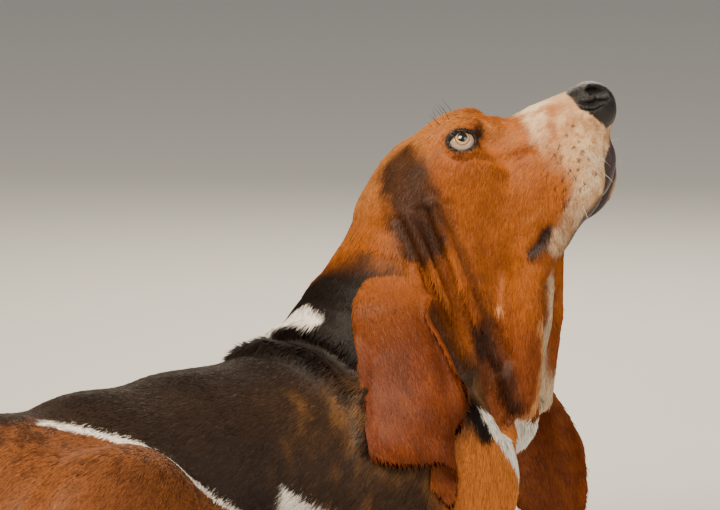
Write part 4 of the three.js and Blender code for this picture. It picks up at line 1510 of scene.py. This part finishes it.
def eyeball(side):
    """A ball with a clear bulge over its iris, turned so that its local +Z looks along the gaze."""
    name = "eyeball_left" if side > 0 else "eyeball_right"
    rows, columns = 48, 64
    polar = np.linspace(0, math.pi, rows + 1)[1:-1]
    around = np.linspace(0, 2 * math.pi, columns, endpoint=False)
    bulge = CORNEA * fade(0.62, 0.0, polar)
    radius = EYE_RADIUS + bulge - 0.4 * fade(0.75, 0.6, polar) * fade(0.45, 0.6, polar)
    grid = np.stack([
        radius[:, None] * np.sin(polar)[:, None] * np.cos(around),
        radius[:, None] * np.sin(polar)[:, None] * np.sin(around),
        (radius * np.cos(polar))[:, None] + 0 * around,
    ], -1).reshape(-1, 3)
    points = np.concatenate([grid, [[0, 0, EYE_RADIUS + CORNEA], [0, 0, -EYE_RADIUS]]])
    index = np.arange(len(grid)).reshape(rows - 1, columns)
    turned = np.roll(index, -1, 1)
    sides = np.stack([index[:-1], index[1:], turned[1:], turned[:-1]], -1).reshape(-1, 4)
    faces = [tuple(int(v) for v in q) for q in sides]
    top, bottom = len(grid), len(grid) + 1
    faces += [(top, int(a), int(b)) for a, b in zip(index[0], turned[0])]
    faces += [(bottom, int(b), int(a)) for a, b in zip(index[-1], turned[-1])]
    mesh = bpy.data.meshes.new(name)
    mesh.from_pydata((points * MM).tolist(), [], faces)
    mesh.polygons.foreach_set("use_smooth", np.ones(len(mesh.polygons), bool))
    obj = bpy.data.objects.new(name, mesh)
    bpy.context.scene.collection.objects.link(obj)
    turn = Vector(HEAD @ GAZE[side]).to_track_quat("Z", "Y")
    obj.matrix_world = Matrix.Translation(to_row(eye_centre(side))) @ turn.to_matrix().to_4x4()
    obj.data.materials.append(EYE)
    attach(obj, "root")
    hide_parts("eye_left" if side > 0 else "eye_right")


for side in (-1, 1):
    eyeball(side)

# Whiskers on the muzzle and long hairs on the brows: fine spikes, each with a triangular root

WHISKERS = [
    (128, 33, -22), (122, 36, -34), (116, 37, -46), (132, 31, -36), (124, 34, -52), (110, 38, -60),
    (136, 26, -48), (104, 40, -36), (138, 28, -26), (112, 38, -28), (100, 38, -74), (128, 28, -60),
]
BROW_HAIRS = [(30, 28, 50), (36, 26, 50), (24, 30, 50), (40, 30, 47), (32, 34, 47)]
SPIKE_RINGS = [(0, 1.0), (0.5, 0.7)]  # part of the length, part of the radius
SPIKE_DROOP = 0.12
THIRD_OF_TURN = 2.1


def spikes(name, roots, directions, lengths, radius, colour):
    points, faces = [], []
    for root, direction, reach in zip(roots, directions, lengths):
        direction = direction / np.linalg.norm(direction)
        aside = unit(np.cross(direction, [0.3, 0.2, 0.9]))
        above_it = np.cross(direction, aside)
        droop = np.array([0, 0, -SPIKE_DROOP * reach])
        base = len(points)
        for part, wide in SPIKE_RINGS:
            middle = root + direction * reach * part + droop * part * part
            for i in range(3):
                turn = i * THIRD_OF_TURN
                outward = aside * math.cos(turn) + above_it * math.sin(turn)
                points.append(middle + outward * radius * wide)
        points.append(root + direction * reach + droop)
        for a, b in ((0, 1), (1, 2), (2, 0)):
            faces += [(base + a, base + b, base + b + 3), (base + a, base + b + 3, base + a + 3)]
            faces.append((base + a + 3, base + b + 3, base + 6))
        faces.append((base + 2, base + 1, base))
    obj = mesh_from(name, np.array(points), np.array(faces))
    paint(obj, np.tile(colour, (len(points), 1)))
    obj.data.materials.append(COAT)


def grow_spikes(name, places, leaning, reach, radius, colour):
    roots, directions = [], []
    for side in (-1, 1):
        for x, y, z in places:
            root = on_surface([[*head_point(x, side * y, z), 1]], 3)["points"][0, :3]
            lean = np.array(leaning) * [1, side, 1] + rng.normal(0, 0.22, 3)
            roots.append(root)
            directions.append(HEAD @ lean)
    lengths = reach * (0.7 + 0.5 * rng.random(len(roots)))
    spikes(name, roots, directions, lengths, radius, colour)


grow_spikes("whiskers", WHISKERS, (0.35, 0.75, -0.45), 26, 0.22, WHISKER_WHITE)
grow_spikes("brow_hairs", BROW_HAIRS, (-0.1, 0.25, 0.9), 18, 0.26, BROW_BLACK)

for node_name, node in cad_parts.items():
    if node_name.startswith("claw"):
        node.data.materials.clear()
        node.data.materials.append(CLAW)

# Floor, light and camera


def plain_material(name, colour, roughness):
    material, _, _, shader = new_material(name, roughness)
    shader.inputs["Base Color"].default_value = (*colour, 1)
    return material


bpy.ops.mesh.primitive_plane_add(size=12)
floor = bpy.context.object
floor.name = "floor"
floor.data.materials.append(plain_material("floor_pale", (0.72, 0.70, 0.66), 0.8))

world = bpy.data.worlds.new("soft_room")
bpy.context.scene.world = world
world.use_nodes = True
world.node_tree.nodes["Background"].inputs["Color"].default_value = (0.97, 0.96, 0.94, 1)
world.node_tree.nodes["Background"].inputs["Strength"].default_value = 0.3

CAMERA_TURN = radians(-48)
CAMERA_RISE = radians(9)
CAMERA_FAR = 3.2
PIXELS_PER_M = 1150  # at the head
IMAGE_WIDTH, IMAGE_HEIGHT = 720, 510
back = Vector((
    math.sin(CAMERA_TURN) * math.cos(CAMERA_RISE),
    -math.cos(CAMERA_TURN) * math.cos(CAMERA_RISE),
    math.sin(CAMERA_RISE),
))
right = Vector((math.cos(CAMERA_TURN), math.sin(CAMERA_TURN), 0))
above = back.cross(right)


def soft_light(name, place, size, watts, colour):
    data = bpy.data.lights.new(name, "AREA")
    data.shape = "RECTANGLE"
    data.size = data.size_y = size
    data.energy = watts
    data.color = colour
    obj = bpy.data.objects.new(name, data)
    obj.location = place
    obj.rotation_mode = "QUATERNION"
    obj.rotation_quaternion = (Vector((0.15, -0.05, 0.25)) - Vector(place)).to_track_quat("-Z", "Y")
    bpy.context.scene.collection.objects.link(obj)


MIDDLE = Vector((0, 0, 0.3))
KEY_AT = MIDDLE - right * 0.9 + back * 1.6 + Vector((0, 0, 2.0))
RIM_AT = MIDDLE + right * 0.4 - back * 1.9 + Vector((0, 0, 1.5))
FILL_AT = MIDDLE + right * 1.9 + back * 1.2 + Vector((0, 0, 0.7))
soft_light("key", KEY_AT, 1.6, 185, (1.0, 0.86, 0.66))
soft_light("rim", RIM_AT, 1.4, 34, (1.0, 0.88, 0.70))
soft_light("fill", FILL_AT, 1.6, 22, (1.0, 0.90, 0.76))

# The skull's middle shows at this pixel of the picture
ANCHOR = Vector(to_row(HEAD_AT))
ANCHOR_PIXEL_X, ANCHOR_PIXEL_Y = 440, 185
camera_data = bpy.data.cameras.new("camera")
camera = bpy.data.objects.new("camera", camera_data)
bpy.context.scene.collection.objects.link(camera)
bpy.context.scene.camera = camera
camera_data.lens = PIXELS_PER_M * CAMERA_FAR * camera_data.sensor_width / IMAGE_WIDTH
from_middle_right = (ANCHOR_PIXEL_X - IMAGE_WIDTH / 2) / PIXELS_PER_M
from_middle_up = (IMAGE_HEIGHT / 2 - ANCHOR_PIXEL_Y) / PIXELS_PER_M
aim = ANCHOR - right * from_middle_right - above * from_middle_up
camera.location = aim + back * CAMERA_FAR
camera.rotation_mode = "QUATERNION"
camera.rotation_quaternion = (-back).to_track_quat("-Z", "Y")
